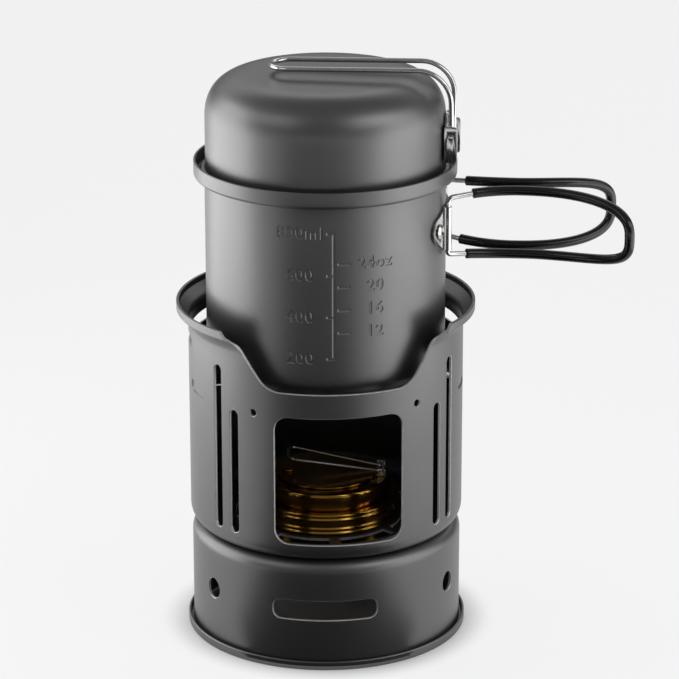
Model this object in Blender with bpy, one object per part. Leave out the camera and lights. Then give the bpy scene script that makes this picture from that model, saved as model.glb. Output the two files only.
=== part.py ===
"""Alcohol spirit stove: base stand, windscreen, burner with flame regulator, cooking pot and lid.

The parts stack on one upright axis. Azimuths are degrees from the front (-Y) towards the handles (+X).
"""

import math

import bmesh
import bpy
from mathutils import Matrix, Vector

# Fits and facets
SEAT_GAP = 0.0003
RUNNING_GAP = 0.00015
SHELL_SIDES = 34
BURNER_SIDES = 24
SMALL_SIDES = 10
WIRE_SIDES = 8
CORNER_STEPS = 3
ROUND_END = 0.49
FILLET_SHARE = 0.48
SMOOTH_ANGLE = 35.0
FILLET_LIMITS = (0.0015, 0.0055, 0.0200, 0.0200, 0.0200)

# Cooking pot
POT_RADIUS = 0.0570
POT_WALL = 0.0010
POT_HEIGHT = 0.1034
POT_CORNER = 0.0100
POT_RIM_OVERHANG = 0.00515
POT_RIM_BAND = 0.0078
POT_RIM_THICKNESS = 0.0012
POT_LEDGE = 0.0012
POT_NECK_BEND = 0.0016
POT_RIM_BEND = 0.0018
POT_RIM_EDGE = 0.0005

# Lid, a shallow bowl turned over
LID_SETBACK = 0.0004
LID_WALL = 0.0010
LID_HEIGHT = 0.0468
LID_SHOULDER_WIDTH = 0.0200
LID_SHOULDER_HEIGHT = 0.0200
LID_SHOULDER_POWER = 2.3
LID_CURL = 0.0023
LID_CURL_GAP = 0.0020
LID_CURL_BEND = 0.0007
LID_TURN = -11.5

# Windscreen
SCREEN_GAP = 0.00755
SCREEN_WALL = 0.0012
SCREEN_HEIGHT = 0.1104
SCREEN_CORNER = 0.0080
SCREEN_RIM_OVERHANG = 0.0056
SCREEN_RIM_BAND = 0.0043
SCREEN_RIM_SHEET = 0.0015
SCREEN_RIM_EDGE = 0.0005
SCREEN_NECK = 0.0046
SCREEN_TURN = 1.5
LOCATING_BEAD_DEPTH = 0.0020
LOCATING_BEAD_WIDTH = 0.0036

# Windscreen openings, with heights above its foot
WINDOW_HALF_ANGLE = 27.4
WINDOW_BOTTOM = 0.0090
WINDOW_TOP = 0.0720
WINDOW_CORNER = 0.0070
CUTOUT_DEPTH = 0.0266
CUTOUT_FLOOR_HALF_ANGLE = 30.6
CUTOUT_TOP_HALF_ANGLE = 49.3
CUTOUT_FILLET = 0.0135
SLOT_WIDTH = 0.0052
SLOT_BOTTOM = 0.0095
LONG_SLOT_TOP = 0.0908
SHORT_SLOT_TOP = 0.0709
LONG_SLOT_AZIMUTH = 56.4
SHORT_SLOT_AZIMUTH = 46.9
WIRE_HOLE_RADIUS = 0.0018
WIRE_HOLES = ((-37.0, 0.0721), (34.6, 0.0744))
VENT_FIRST_AZIMUTH = 81.5
VENT_LAST_AZIMUTH = 126.0
VENT_BOTTOM = 0.0902
VENT_HEIGHT = 0.0056
DIMPLE_HALF_ANGLE = 7.3
DIMPLE_BOTTOM = 0.0702
DIMPLE_HEIGHT = 0.0046
DIMPLE_DEPTH = 0.0006
AIR_SLOT_COUNT = 8
AIR_SLOT_PARTS = 4
AIR_SLOT_BAR = 0.0050
AIR_SLOT_WIDTH = 0.0070
AIR_SLOT_INSET = 0.0020

# Pot supports on the windscreen wall
POT_STANDOFF = 0.0750
SUPPORT_AZIMUTHS = {"left": -74.5, "right": 74.5, "rear": 180.0}
SUPPORT_SHEET = 0.0012
SUPPORT_WIDTH = 0.0120
SUPPORT_DROP = 0.0180
SUPPORT_REACH = 0.0240
SUPPORT_LIP = 0.0045
SUPPORT_WALL_GAP = 0.0006
SUPPORT_BEND = 0.0030
SUPPORT_LIP_BEND = 0.0020

# Base stand
BASE_HEIGHT = 0.0535
BASE_SETBACK = 0.00075
BASE_WALL = 0.0012
BASE_SHOULDER = 0.0060
BASE_FOOT_OVERHANG = 0.0026
BASE_FOOT_BAND = 0.0042
BASE_FOOT_CURL = 0.0012
BASE_FOOT_EDGE = 0.0006
BASE_HOLE_RADIUS = 0.0500
BASE_OPENING_HEIGHT = 0.0293
BASE_SLOT_HEIGHT = 0.0098
BASE_SLOT_CORNER = 0.0034
BASE_SLOT_HALF_ANGLE = 22.4
BASE_SLOT_AZIMUTH = -4.9
BASE_HOLE_AZIMUTHS = (-60.5, 59.5, -120.5, 119.5, 179.5)
BASE_AIR_HOLE_RADIUS = 0.0050

# Burner
BURNER_RADIUS = 0.0328
BURNER_WALL = 0.0010
BURNER_CORNER = 0.0025
BURNER_BELOW_SEAT = 0.0243
BURNER_COLLAR_HEIGHT = 0.0106
BURNER_COLLAR_STEP = 0.0016
BURNER_RIDGE = 0.0008
BURNER_RIDGE_HALF_WIDTH = 0.0009
BURNER_RIDGE_HEIGHTS = (0.0009, 0.0030, 0.0076, 0.0097)
BURNER_CUP_RADIUS = 0.0230
BURNER_CUP_FOOT_GAP = 0.0020
JET_COUNT = 16
JET_RADIUS = 0.0007
JET_SIDES = 6
JET_RING_SLOPE = 0.0040
JET_RING_LAND = 0.0028
JET_RING_BEND = 0.0007
WICK_HEIGHT = 0.0240

# Flame regulator on the burner
REGULATOR_RADIUS = 0.0305
REGULATOR_WALL = 0.0008
REGULATOR_HEIGHT = 0.0086
REGULATOR_EDGE = 0.0016
REGULATOR_PORT_RADIUS = 0.0140
REGULATOR_TURN = -4.5
SHUTTER_RADIUS = 0.0240
SHUTTER_SHEET = 0.0008
SHUTTER_PIVOT_OFFSET = 0.0185
SHUTTER_PIVOT_RADIUS = 0.0015
SHUTTER_PIVOT_HEAD = 0.0028
SHUTTER_PIVOT_EDGE = 0.0004
REGULATOR_WIRE_RADIUS = 0.0008
REGULATOR_WIRE_LENGTH = 0.0460
REGULATOR_WIRE_HALF_WIDTH = 0.0036
REGULATOR_WIRE_END_HALF_WIDTH = 0.0090
REGULATOR_WIRE_BEND = 0.0016
REGULATOR_WIRE_END_BEND = 0.0045
REGULATOR_WIRE_RISE = 10.5
REGULATOR_CHEEK = 0.0008
REGULATOR_CHEEK_HEIGHT = 0.0038
REGULATOR_CHEEK_LENGTH = 0.0038

# Folding pot handles and their bracket
HANDLE_WIRE_RADIUS = 0.00125
HANDLE_SLEEVE_RADIUS = 0.0024
HANDLE_BARE_TOP = 0.0125
HANDLE_BARE_FOOT = 0.0095
HANDLE_LENGTHS = {"front": 0.0938, "rear": 0.0864}
HANDLE_BELLY = 0.0155
HANDLE_BELLY_AT = 0.0350
HANDLE_ROOT = 0.0136
HANDLE_POWER = 3.1
HANDLE_BOW_RADIUS = 0.0667
HANDLE_DROP = 0.0298
HANDLE_TOP_BEND = 0.0030
HANDLE_FOOT_BEND = 0.0018
HANDLE_TOP_SHANK = 0.0011
HANDLE_PIN_GAP = 0.0060
HANDLE_REST_TURNS = {"front": 21.2, "rear": -40.8}
BRACKET_SHEET = 0.0009
BRACKET_KNUCKLE_WALL = 0.0005
BRACKET_AZIMUTH = 87.5
BRACKET_KNUCKLE_ANGLE = 16.0
BRACKET_SHOULDER_ANGLE = 2.0
BRACKET_RIVET_ANGLE = 25.5
BRACKET_EAR_RADIUS = 0.0065
RIVET_HEAD_RADIUS = 0.0035
RIVET_HEAD_HEIGHT = 0.0014
RIVET_SHANK_RADIUS = 0.0018

# Lid handle and its bracket
LID_WIRE_RADIUS = 0.0012
LID_WIRE_TOP_HALF_WIDTH = 0.0096
LID_WIRE_FOOT_HALF_WIDTH = 0.0064
LID_WIRE_BEND = 0.0210
LID_WIRE_FOOT_BEND = 0.0018
LID_WIRE_END_BEND = 0.0085
LID_WIRE_CLEARANCE = 0.0025
LID_WIRE_SLOPE = 0.0014
LID_WIRE_SPREAD = 0.8
LID_WIRE_OVERSHOOT = 0.0250
LID_BRACKET_SHEET = 0.0010
LID_BRACKET_DEPTH = 0.0060
LID_BRACKET_HEIGHT = 0.0172
LID_BRACKET_RIM_GAP = 0.0016
LID_BRACKET_PIVOT_HEIGHT = 0.0121
LID_BRACKET_CORNER = 0.0015
LID_TONGUE_HEIGHT = 0.0050
LID_TONGUE_HALF_WIDTH = 0.0050
LID_TONGUE_CORNER = 0.0040
LID_RIVET_HEAD_RADIUS = 0.0024
LID_RIVET_HEAD_HEIGHT = 0.0011
LID_RIVET_SHANK_RADIUS = 0.0012
LID_RIVET_EDGE = 0.0030

# Radii and levels that follow from the sizes above
SCREEN_RADIUS = POT_RADIUS + SCREEN_GAP + SCREEN_WALL
SCREEN_Z = BASE_HEIGHT + SEAT_GAP
FLOOR_Z = SCREEN_Z + SCREEN_WALL
SCREEN_TOP_Z = SCREEN_Z + SCREEN_HEIGHT
BASE_RADIUS = SCREEN_RADIUS - BASE_SETBACK
POT_Z = FLOOR_Z + POT_STANDOFF
POT_RIM_Z = POT_Z + POT_HEIGHT
POT_RIM_RADIUS = POT_RADIUS + POT_RIM_OVERHANG
POT_RIM_INNER = POT_RIM_RADIUS - POT_RIM_THICKNESS
LEDGE_Z = POT_RIM_Z - POT_RIM_BAND + POT_LEDGE
LID_RADIUS = POT_RADIUS - LID_SETBACK
LID_Z = LEDGE_Z + SEAT_GAP
LID_TOP_Z = LID_Z + LID_HEIGHT
BURNER_SEAT_Z = FLOOR_Z + SEAT_GAP
BURNER_TOP_Z = BURNER_SEAT_Z + BURNER_COLLAR_HEIGHT
BURNER_BOTTOM_Z = BURNER_SEAT_Z - BURNER_BELOW_SEAT
BURNER_COLLAR_RADIUS = BURNER_RADIUS + BURNER_COLLAR_STEP
BURNER_BORE_RADIUS = BURNER_RADIUS - BURNER_WALL
REGULATOR_Z = BURNER_TOP_Z
REGULATOR_TOP_Z = REGULATOR_Z + REGULATOR_HEIGHT
SHUTTER_Z = REGULATOR_TOP_Z + SEAT_GAP
BURNER_HOLE_RADIUS = BURNER_RADIUS + 2 * SEAT_GAP
KNUCKLE_BORE = HANDLE_WIRE_RADIUS + RUNNING_GAP
KNUCKLE_RADIUS = KNUCKLE_BORE + BRACKET_KNUCKLE_WALL
HANDLE_HINGE_RADIUS = POT_RADIUS + SEAT_GAP + KNUCKLE_RADIUS
HANDLE_Z = POT_RIM_Z - HANDLE_DROP
LID_BRACKET_Z = POT_RIM_Z + LID_BRACKET_RIM_GAP
LID_BRACKET_BACK = LID_RADIUS + SEAT_GAP
LID_PIVOT_X = LID_BRACKET_BACK + LID_BRACKET_DEPTH / 2
LID_PIVOT_Z = LID_BRACKET_Z + LID_BRACKET_PIVOT_HEIGHT


def make_material(name, colour, metallic, roughness):
    finish = bpy.data.materials.new(name)
    finish.use_nodes = True
    shader = finish.node_tree.nodes["Principled BSDF"]
    shader.inputs["Base Color"].default_value = (*colour, 1.0)
    shader.inputs["Metallic"].default_value = metallic
    shader.inputs["Roughness"].default_value = roughness
    return finish


def polar(azimuth, radius, z=0.0):
    """A point at an azimuth counted from the front (-Y) towards +X."""
    angle = math.radians(azimuth)
    return Vector((radius * math.sin(angle), -radius * math.cos(angle), z))


def arc_degrees(length, radius):
    return math.degrees(length / radius)


def fillet(before, corner, after, radius):
    """The points of an arc that rounds a corner, limited by the shorter side next to it."""
    towards = before - corner
    onwards = after - corner
    half = towards.angle(onwards) / 2
    reach = min(radius / math.tan(half), FILLET_SHARE * min(towards.length, onwards.length))
    radius = reach * math.tan(half)
    towards.normalize()
    onwards.normalize()
    centre = corner + (towards + onwards).normalized() * (radius / math.sin(half))
    start = (corner + towards * reach - centre).normalized()
    end = (corner + onwards * reach - centre).normalized()
    count = 1 + sum(radius > limit for limit in FILLET_LIMITS)
    return [centre + radius * start.slerp(end, step / count) for step in range(count + 1)]


def rounded(points, closed):
    """A line through (point, radius) pairs with each corner rounded to its radius."""
    line = []
    for index, (corner, radius) in enumerate(points):
        is_end = not closed and index in (0, len(points) - 1)
        if is_end or radius <= 0:
            line.append(corner)
            continue
        before = points[index - 1][0]
        after = points[(index + 1) % len(points)][0]
        line.extend(fillet(before, corner, after, radius))
    return line


def profile(points, closed=True):
    """A turned outline from (radius, height, fillet) corners."""
    return rounded([(Vector((r, 0.0, z)), bend) for r, z, bend in points], closed)


def finish_object(name, bm, material, location=(0, 0, 0), turn=0.0, parent=None):
    """Turns a closed mesh into a smooth-shaded object with its faces pointing out."""
    bmesh.ops.remove_doubles(bm, verts=bm.verts, dist=1e-6)
    bmesh.ops.recalc_face_normals(bm, faces=bm.faces)
    mesh = bpy.data.meshes.new(name)
    bm.to_mesh(mesh)
    bm.free()
    mesh.shade_smooth()
    mesh.set_sharp_from_angle(angle=math.radians(SMOOTH_ANGLE))
    piece = bpy.data.objects.new(name, mesh)
    bpy.context.scene.collection.objects.link(piece)
    piece.location = location
    piece.rotation_euler.z = math.radians(turn)
    piece.parent = parent
    if material:
        mesh.materials.append(material)
    return piece


def make_empty(name, turn):
    empty = bpy.data.objects.new(name, None)
    bpy.context.scene.collection.objects.link(empty)
    empty.rotation_euler.z = math.radians(turn)
    return empty


def boolean(piece, other, operation):
    other.hide_render = True
    other.display_type = "WIRE"
    step = piece.modifiers.new(operation.lower(), "BOOLEAN")
    step.operation = operation
    step.solver = "EXACT"
    step.object = other


def cut(piece, cutter_mesh):
    """Cuts the bodies in a mesh out of a piece, in the piece's own frame."""
    cutter = finish_object(piece.name + "_cutter", cutter_mesh, None)
    cutter.parent = piece
    boolean(piece, cutter, "DIFFERENCE")


def turned(line, sides):
    """A mesh of a line in the XZ plane spun about the Z axis."""
    bm = bmesh.new()
    verts = [bm.verts.new(point) for point in line]
    pairs = list(zip(verts, verts[1:]))
    if line[0].x > 1e-7:
        pairs.append((verts[-1], verts[0]))
    edges = [bm.edges.new(pair) for pair in pairs]
    bmesh.ops.spin(
        bm,
        geom=verts + edges,
        cent=(0, 0, 0),
        axis=(0, 0, 1),
        angle=2 * math.pi,
        steps=sides,
        use_merge=True,
    )
    bmesh.ops.remove_doubles(bm, verts=bm.verts, dist=1e-6)
    return bm


def add_wrapped(bm, columns, inner, outer):
    """Adds a plate bent round the Z axis, from (azimuth, low, high) columns."""
    rings = []
    for azimuth, low, high in columns:
        corners = ((inner, low), (outer, low), (outer, high), (inner, high))
        rings.append([bm.verts.new(polar(azimuth, r, z)) for r, z in corners])
    for ring, following in zip(rings, rings[1:]):
        for side in range(4):
            after = (side + 1) % 4
            bm.faces.new((ring[side], ring[after], following[after], following[side]))
    bm.faces.new(rings[0])
    bm.faces.new(rings[-1])


def window_columns(azimuth, half_angle, low, high, corner, radius, between=0):
    """Columns of a window with rounded corners on a wall of the given radius."""
    corner = min(corner, ROUND_END * (high - low), ROUND_END * 2 * radius * math.radians(half_angle))
    corner_angle = arc_degrees(corner, radius)
    ends = []
    for step in range(CORNER_STEPS + 1):
        turn = math.radians(90 * step / CORNER_STEPS)
        ends.append((corner_angle * (1 - math.cos(turn)), corner * (1 - math.sin(turn))))
    left = [(azimuth - half_angle + inset, low + drop, high - drop) for inset, drop in ends]
    right = [(azimuth + half_angle - inset, low + drop, high - drop) for inset, drop in ends]
    span = 2 * (half_angle - corner_angle)
    start = azimuth - half_angle + corner_angle
    middle = [(start + span * step / (between + 1), low, high) for step in range(1, between + 1)]
    return left + middle + right[::-1]


def add_bar(bm, start, end, radius, sides):
    """Adds a straight round bar between two points."""
    along = end - start
    placed = Matrix.Translation((start + end) / 2) @ along.to_track_quat("Z", "Y").to_matrix().to_4x4()
    bmesh.ops.create_cone(
        bm,
        cap_ends=True,
        segments=sides,
        radius1=radius,
        radius2=radius,
        depth=along.length,
        matrix=placed,
    )


def prism(line, direction):
    """A mesh of a flat closed outline pushed along a direction."""
    bm = bmesh.new()
    near = bm.faces.new([bm.verts.new(point) for point in line])
    pushed = bmesh.ops.extrude_face_region(bm, geom=[near])
    far = [item for item in pushed["geom"] if isinstance(item, bmesh.types.BMVert)]
    bmesh.ops.translate(bm, verts=far, vec=direction)
    return bm


def sections(path):
    """An upright frame at each point of a path, carried along it without twist."""
    frames = []
    across = None
    for index, point in enumerate(path):
        before = path[max(index - 1, 0)]
        after = path[min(index + 1, len(path) - 1)]
        along = (after - before).normalized()
        if across is None:
            across = along.orthogonal()
        across = (across - along * across.dot(along)).normalized()
        frames.append((point, across, along.cross(across)))
    return frames


def tube(path, radius, sides, bore=0.0):
    """A round wire along a path, or a sleeve where it has a bore."""
    bm = bmesh.new()
    frames = sections(path)
    angles = [2 * math.pi * side / sides for side in range(sides)]

    def skin(size):
        rings = []
        for point, across, over in frames:
            turns = [across * math.cos(a) + over * math.sin(a) for a in angles]
            rings.append([bm.verts.new(point + size * turn) for turn in turns])
        for ring, following in zip(rings, rings[1:]):
            for side in range(sides):
                after = (side + 1) % sides
                bm.faces.new((ring[side], ring[after], following[after], following[side]))
        return rings

    outside = skin(radius)
    if not bore:
        bm.faces.new(outside[0])
        bm.faces.new(outside[-1])
        return bm
    inside = skin(bore)
    for end in (0, -1):
        for side in range(sides):
            after = (side + 1) % sides
            bm.faces.new((outside[end][side], outside[end][after], inside[end][after], inside[end][side]))
    return bm


def make_rivet(name, azimuth, z, surface, grip, head, height, shank, material, parent=None):
    """A rivet set through a wall: its head outside, its shank through the grip, a flat tail inside."""
    crown = (0.55 * head, 0.85 * height, 0.0)
    brim = 0.3 * height
    tail = 1.5 * shank
    tail_end = -grip - 0.5 * height
    line = profile([
        (0.0, height, 0.0),
        crown,
        (head, brim, 0.0),
        (head, 0.0, 0.0),
        (shank, 0.0, 0.0),
        (shank, -grip, 0.0),
        (tail, -grip, 0.0),
        (tail, tail_end, 0.0),
        (0.0, tail_end, 0.0),
    ])
    bm = turned(line, SMALL_SIDES)
    outwards = polar(azimuth, 1.0)
    facing = outwards.to_track_quat("Z", "Y").to_matrix().to_4x4()
    placed = Matrix.Translation(polar(azimuth, surface, z)) @ facing
    bmesh.ops.transform(bm, matrix=placed, verts=bm.verts)
    return finish_object(name, bm, material, parent=parent)


def make_base_stand(anodised):
    wall = BASE_RADIUS - BASE_WALL
    foot = BASE_RADIUS + BASE_FOOT_OVERHANG
    line = profile([
        (wall, 0.0, 0.0),
        (foot, 0.0, BASE_FOOT_EDGE),
        (foot, BASE_FOOT_BAND, BASE_FOOT_EDGE),
        (foot - BASE_FOOT_CURL, BASE_FOOT_BAND, 0.0),
        (foot - BASE_FOOT_CURL, BASE_WALL, 0.0),
        (BASE_RADIUS, BASE_WALL, 0.0),
        (BASE_RADIUS, BASE_HEIGHT, BASE_SHOULDER),
        (BASE_HOLE_RADIUS, BASE_HEIGHT, 0.0),
        (BASE_HOLE_RADIUS, BASE_HEIGHT - BASE_WALL, 0.0),
        (wall, BASE_HEIGHT - BASE_WALL, BASE_SHOULDER - BASE_WALL),
    ])
    stand = finish_object("base_stand", turned(line, SHELL_SIDES), anodised)
    holes = bmesh.new()
    low = BASE_OPENING_HEIGHT - BASE_SLOT_HEIGHT / 2
    inner = wall - BASE_FOOT_OVERHANG
    high = low + BASE_SLOT_HEIGHT
    columns = window_columns(
        BASE_SLOT_AZIMUTH, BASE_SLOT_HALF_ANGLE, low, high, BASE_SLOT_CORNER, BASE_RADIUS, 4
    )
    add_wrapped(holes, columns, inner, foot + BASE_FOOT_OVERHANG)
    for azimuth in BASE_HOLE_AZIMUTHS:
        start = polar(azimuth, inner, BASE_OPENING_HEIGHT)
        end = polar(azimuth, foot, BASE_OPENING_HEIGHT)
        add_bar(holes, start, end, BASE_AIR_HOLE_RADIUS, SMALL_SIDES)
    cut(stand, holes)


def windscreen_profile():
    inside = SCREEN_RADIUS - SCREEN_WALL
    rim = SCREEN_RADIUS + SCREEN_RIM_OVERHANG
    lip = rim - SCREEN_RIM_SHEET
    band_low = SCREEN_TOP_Z - SCREEN_RIM_BAND
    neck = band_low - SCREEN_NECK
    bead_outer = BASE_HOLE_RADIUS - SEAT_GAP - RUNNING_GAP
    bead_inner = bead_outer - LOCATING_BEAD_WIDTH
    bead_z = SCREEN_Z - LOCATING_BEAD_DEPTH
    return profile([
        (BURNER_HOLE_RADIUS, SCREEN_Z, 0.0),
        (bead_inner, SCREEN_Z, 0.0),
        (bead_outer - LOCATING_BEAD_WIDTH / 2, bead_z, 0.0),
        (bead_outer, SCREEN_Z, 0.0),
        (SCREEN_RADIUS, SCREEN_Z, SCREEN_CORNER),
        (SCREEN_RADIUS, neck, SCREEN_NECK),
        (lip, band_low, 0.0),
        (rim, band_low, SCREEN_RIM_SHEET / 2),
        (rim, SCREEN_TOP_Z, SCREEN_RIM_EDGE),
        (lip, SCREEN_TOP_Z, SCREEN_RIM_EDGE),
        (lip, band_low + SCREEN_RIM_SHEET, 0.0),
        (inside, neck + SCREEN_WALL, SCREEN_NECK),
        (inside, FLOOR_Z, SCREEN_CORNER - SCREEN_WALL),
        (bead_outer, FLOOR_Z, 0.0),
        (bead_outer - LOCATING_BEAD_WIDTH / 2, bead_z + SCREEN_WALL, 0.0),
        (bead_inner, FLOOR_Z, 0.0),
        (BURNER_HOLE_RADIUS, FLOOR_Z, 0.0),
    ])


def cutout_columns(top):
    """Columns of the rim cut-out: a level floor, filleted corners and sides that lean outwards."""
    scale = math.radians(1.0) * SCREEN_RADIUS
    floor = SCREEN_TOP_Z - CUTOUT_DEPTH
    lean = (CUTOUT_TOP_HALF_ANGLE - CUTOUT_FLOOR_HALF_ANGLE) / CUTOUT_DEPTH
    half_top = CUTOUT_TOP_HALF_ANGLE + lean * (top - SCREEN_TOP_Z)
    corners = [
        (Vector((-half_top * scale, 0, top)), 0),
        (Vector((-CUTOUT_FLOOR_HALF_ANGLE * scale, 0, floor)), CUTOUT_FILLET),
        (Vector((0, 0, floor)), 0),
        (Vector((CUTOUT_FLOOR_HALF_ANGLE * scale, 0, floor)), CUTOUT_FILLET),
        (Vector((half_top * scale, 0, top)), 0),
    ]
    line = rounded(corners, closed=False)
    return [(SCREEN_TURN + point.x / scale, point.z, top + CUTOUT_DEPTH) for point in line]


def windscreen_openings():
    bm = bmesh.new()
    inner = SCREEN_RADIUS - SCREEN_CORNER
    outer = SCREEN_RADIUS + 2 * SCREEN_RIM_OVERHANG
    low = SCREEN_Z + WINDOW_BOTTOM
    high = SCREEN_Z + WINDOW_TOP
    window = window_columns(SCREEN_TURN, WINDOW_HALF_ANGLE, low, high, WINDOW_CORNER, SCREEN_RADIUS, 3)
    add_wrapped(bm, window, inner, outer)
    add_wrapped(bm, cutout_columns(SCREEN_TOP_Z + SCREEN_RIM_BAND), inner, outer)
    slot_half = arc_degrees(SLOT_WIDTH / 2, SCREEN_RADIUS)
    for side in (-1, 1):
        for azimuth, top in ((LONG_SLOT_AZIMUTH, LONG_SLOT_TOP), (SHORT_SLOT_AZIMUTH, SHORT_SLOT_TOP)):
            columns = window_columns(
                SCREEN_TURN + side * azimuth,
                slot_half,
                SCREEN_Z + SLOT_BOTTOM,
                SCREEN_Z + top,
                SLOT_WIDTH / 2,
                SCREEN_RADIUS,
            )
            add_wrapped(bm, columns, inner, outer)
        vent = window_columns(
            SCREEN_TURN + side * (VENT_FIRST_AZIMUTH + VENT_LAST_AZIMUTH) / 2,
            (VENT_LAST_AZIMUTH - VENT_FIRST_AZIMUTH) / 2,
            SCREEN_Z + VENT_BOTTOM,
            SCREEN_Z + VENT_BOTTOM + VENT_HEIGHT,
            VENT_HEIGHT / 2,
            SCREEN_RADIUS,
            4,
        )
        add_wrapped(bm, vent, inner, outer)
    for azimuth, height in WIRE_HOLES:
        start = polar(SCREEN_TURN + azimuth, inner, SCREEN_Z + height)
        end = polar(SCREEN_TURN + azimuth, outer, SCREEN_Z + height)
        add_bar(bm, start, end, WIRE_HOLE_RADIUS, SMALL_SIDES)
    for azimuth in SUPPORT_AZIMUTHS.values():
        dimple = window_columns(
            SCREEN_TURN + azimuth,
            DIMPLE_HALF_ANGLE,
            SCREEN_Z + DIMPLE_BOTTOM,
            SCREEN_Z + DIMPLE_BOTTOM + DIMPLE_HEIGHT,
            DIMPLE_HEIGHT / 2,
            SCREEN_RADIUS,
            2,
        )
        add_wrapped(bm, dimple, SCREEN_RADIUS - DIMPLE_DEPTH, outer)
    return bm


def floor_air_slots():
    """Arc slots in the floor round the burner hole, with straight bars between them."""
    bm = bmesh.new()
    inner = BURNER_COLLAR_RADIUS + BURNER_RIDGE + AIR_SLOT_INSET
    outer = inner + AIR_SLOT_WIDTH
    pitch = 360 / AIR_SLOT_COUNT
    half_bar = arc_degrees(AIR_SLOT_BAR / 2, (inner + outer) / 2)
    for slot in range(AIR_SLOT_COUNT):
        start = SCREEN_TURN + slot * pitch + half_bar
        span = pitch - 2 * half_bar
        columns = [
            (start + span * part / AIR_SLOT_PARTS, SCREEN_Z - SCREEN_CORNER, FLOOR_Z + SCREEN_CORNER)
            for part in range(AIR_SLOT_PARTS + 1)
        ]
        add_wrapped(bm, columns, inner, outer)
    return bm


def make_windscreen(anodised):
    screen = finish_object("windscreen_shell", turned(windscreen_profile(), SHELL_SIDES), anodised)
    cut(screen, windscreen_openings())
    slots = finish_object("windscreen_floor_cutter", floor_air_slots(), None)
    boolean(screen, slots, "DIFFERENCE")


def make_pot_supports(stainless):
    """Bent strips inside the windscreen wall whose level shelves carry the pot."""
    top = POT_Z - SEAT_GAP
    back = SCREEN_RADIUS - SCREEN_WALL - SUPPORT_WALL_GAP
    tip = back - SUPPORT_REACH
    sheet = SUPPORT_SHEET
    corners = [
        (back, top - SUPPORT_DROP, 0.0),
        (back, top, SUPPORT_BEND),
        (tip, top, SUPPORT_LIP_BEND),
        (tip, top - SUPPORT_LIP, 0.0),
        (tip + sheet, top - SUPPORT_LIP, 0.0),
        (tip + sheet, top - sheet, SUPPORT_LIP_BEND - sheet),
        (back - sheet, top - sheet, SUPPORT_BEND - sheet),
        (back - sheet, top - SUPPORT_DROP, 0.0),
    ]
    line = [point - Vector((0, SUPPORT_WIDTH / 2, 0)) for point in profile(corners)]
    for side, azimuth in SUPPORT_AZIMUTHS.items():
        bm = prism(line, Vector((0, SUPPORT_WIDTH, 0)))
        finish_object(f"pot_support_{side}", bm, stainless, turn=SCREEN_TURN + azimuth - 90)


def make_burner(brass, cotton):
    collar = BURNER_COLLAR_RADIUS
    corners = [
        (0.0, BURNER_BOTTOM_Z, 0.0),
        (BURNER_RADIUS, BURNER_BOTTOM_Z, BURNER_CORNER),
        (BURNER_RADIUS, BURNER_SEAT_Z, 0.0),
    ]
    for height in BURNER_RIDGE_HEIGHTS:
        z = BURNER_SEAT_Z + height
        corners += [
            (collar, z - BURNER_RIDGE_HALF_WIDTH, 0.0),
            (collar + BURNER_RIDGE, z, 0.0),
            (collar, z + BURNER_RIDGE_HALF_WIDTH, 0.0),
        ]
    bore = BURNER_BORE_RADIUS
    floor = BURNER_BOTTOM_Z + BURNER_WALL
    corners += [
        (collar, BURNER_TOP_Z, 0.0),
        (bore, BURNER_TOP_Z, 0.0),
        (bore, floor, 0.0),
        (0.0, floor, 0.0),
    ]
    finish_object("burner_body", turned(profile(corners, closed=False), BURNER_SIDES), brass)

    wall = BURNER_WALL
    cup = BURNER_CUP_RADIUS
    edge = bore - SEAT_GAP
    land = edge - JET_RING_LAND
    land_z = BURNER_TOP_Z - SEAT_GAP
    throat_z = land_z - JET_RING_SLOPE
    foot_z = floor + BURNER_CUP_FOOT_GAP
    ring_line = profile([
        (cup, foot_z, 0.0),
        (cup + wall, foot_z, 0.0),
        (cup + wall, throat_z - wall, JET_RING_BEND),
        (land, land_z - wall, 0.0),
        (edge, land_z - wall, 0.0),
        (edge, land_z, 0.0),
        (land, land_z, 0.0),
        (cup, throat_z, JET_RING_BEND),
    ])
    ring = finish_object("burner_jet_ring", turned(ring_line, BURNER_SIDES), brass)
    jets = bmesh.new()
    jet_circle = (cup + wall + land) / 2
    for jet in range(JET_COUNT):
        azimuth = 360 * (jet + 0.5) / JET_COUNT
        start = polar(azimuth, jet_circle, throat_z - JET_RING_SLOPE)
        add_bar(jets, start, polar(azimuth, jet_circle, land_z + wall), JET_RADIUS, JET_SIDES)
    cut(ring, jets)

    wick_low = floor + SEAT_GAP
    wick_line = profile([
        (cup + wall + SEAT_GAP, wick_low, 0.0),
        (bore - SEAT_GAP, wick_low, 0.0),
        (bore - SEAT_GAP, wick_low + WICK_HEIGHT, 0.0),
        (cup + wall + SEAT_GAP, wick_low + WICK_HEIGHT, 0.0),
    ])
    finish_object("burner_wick", turned(wick_line, BURNER_SIDES), cotton)


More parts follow.
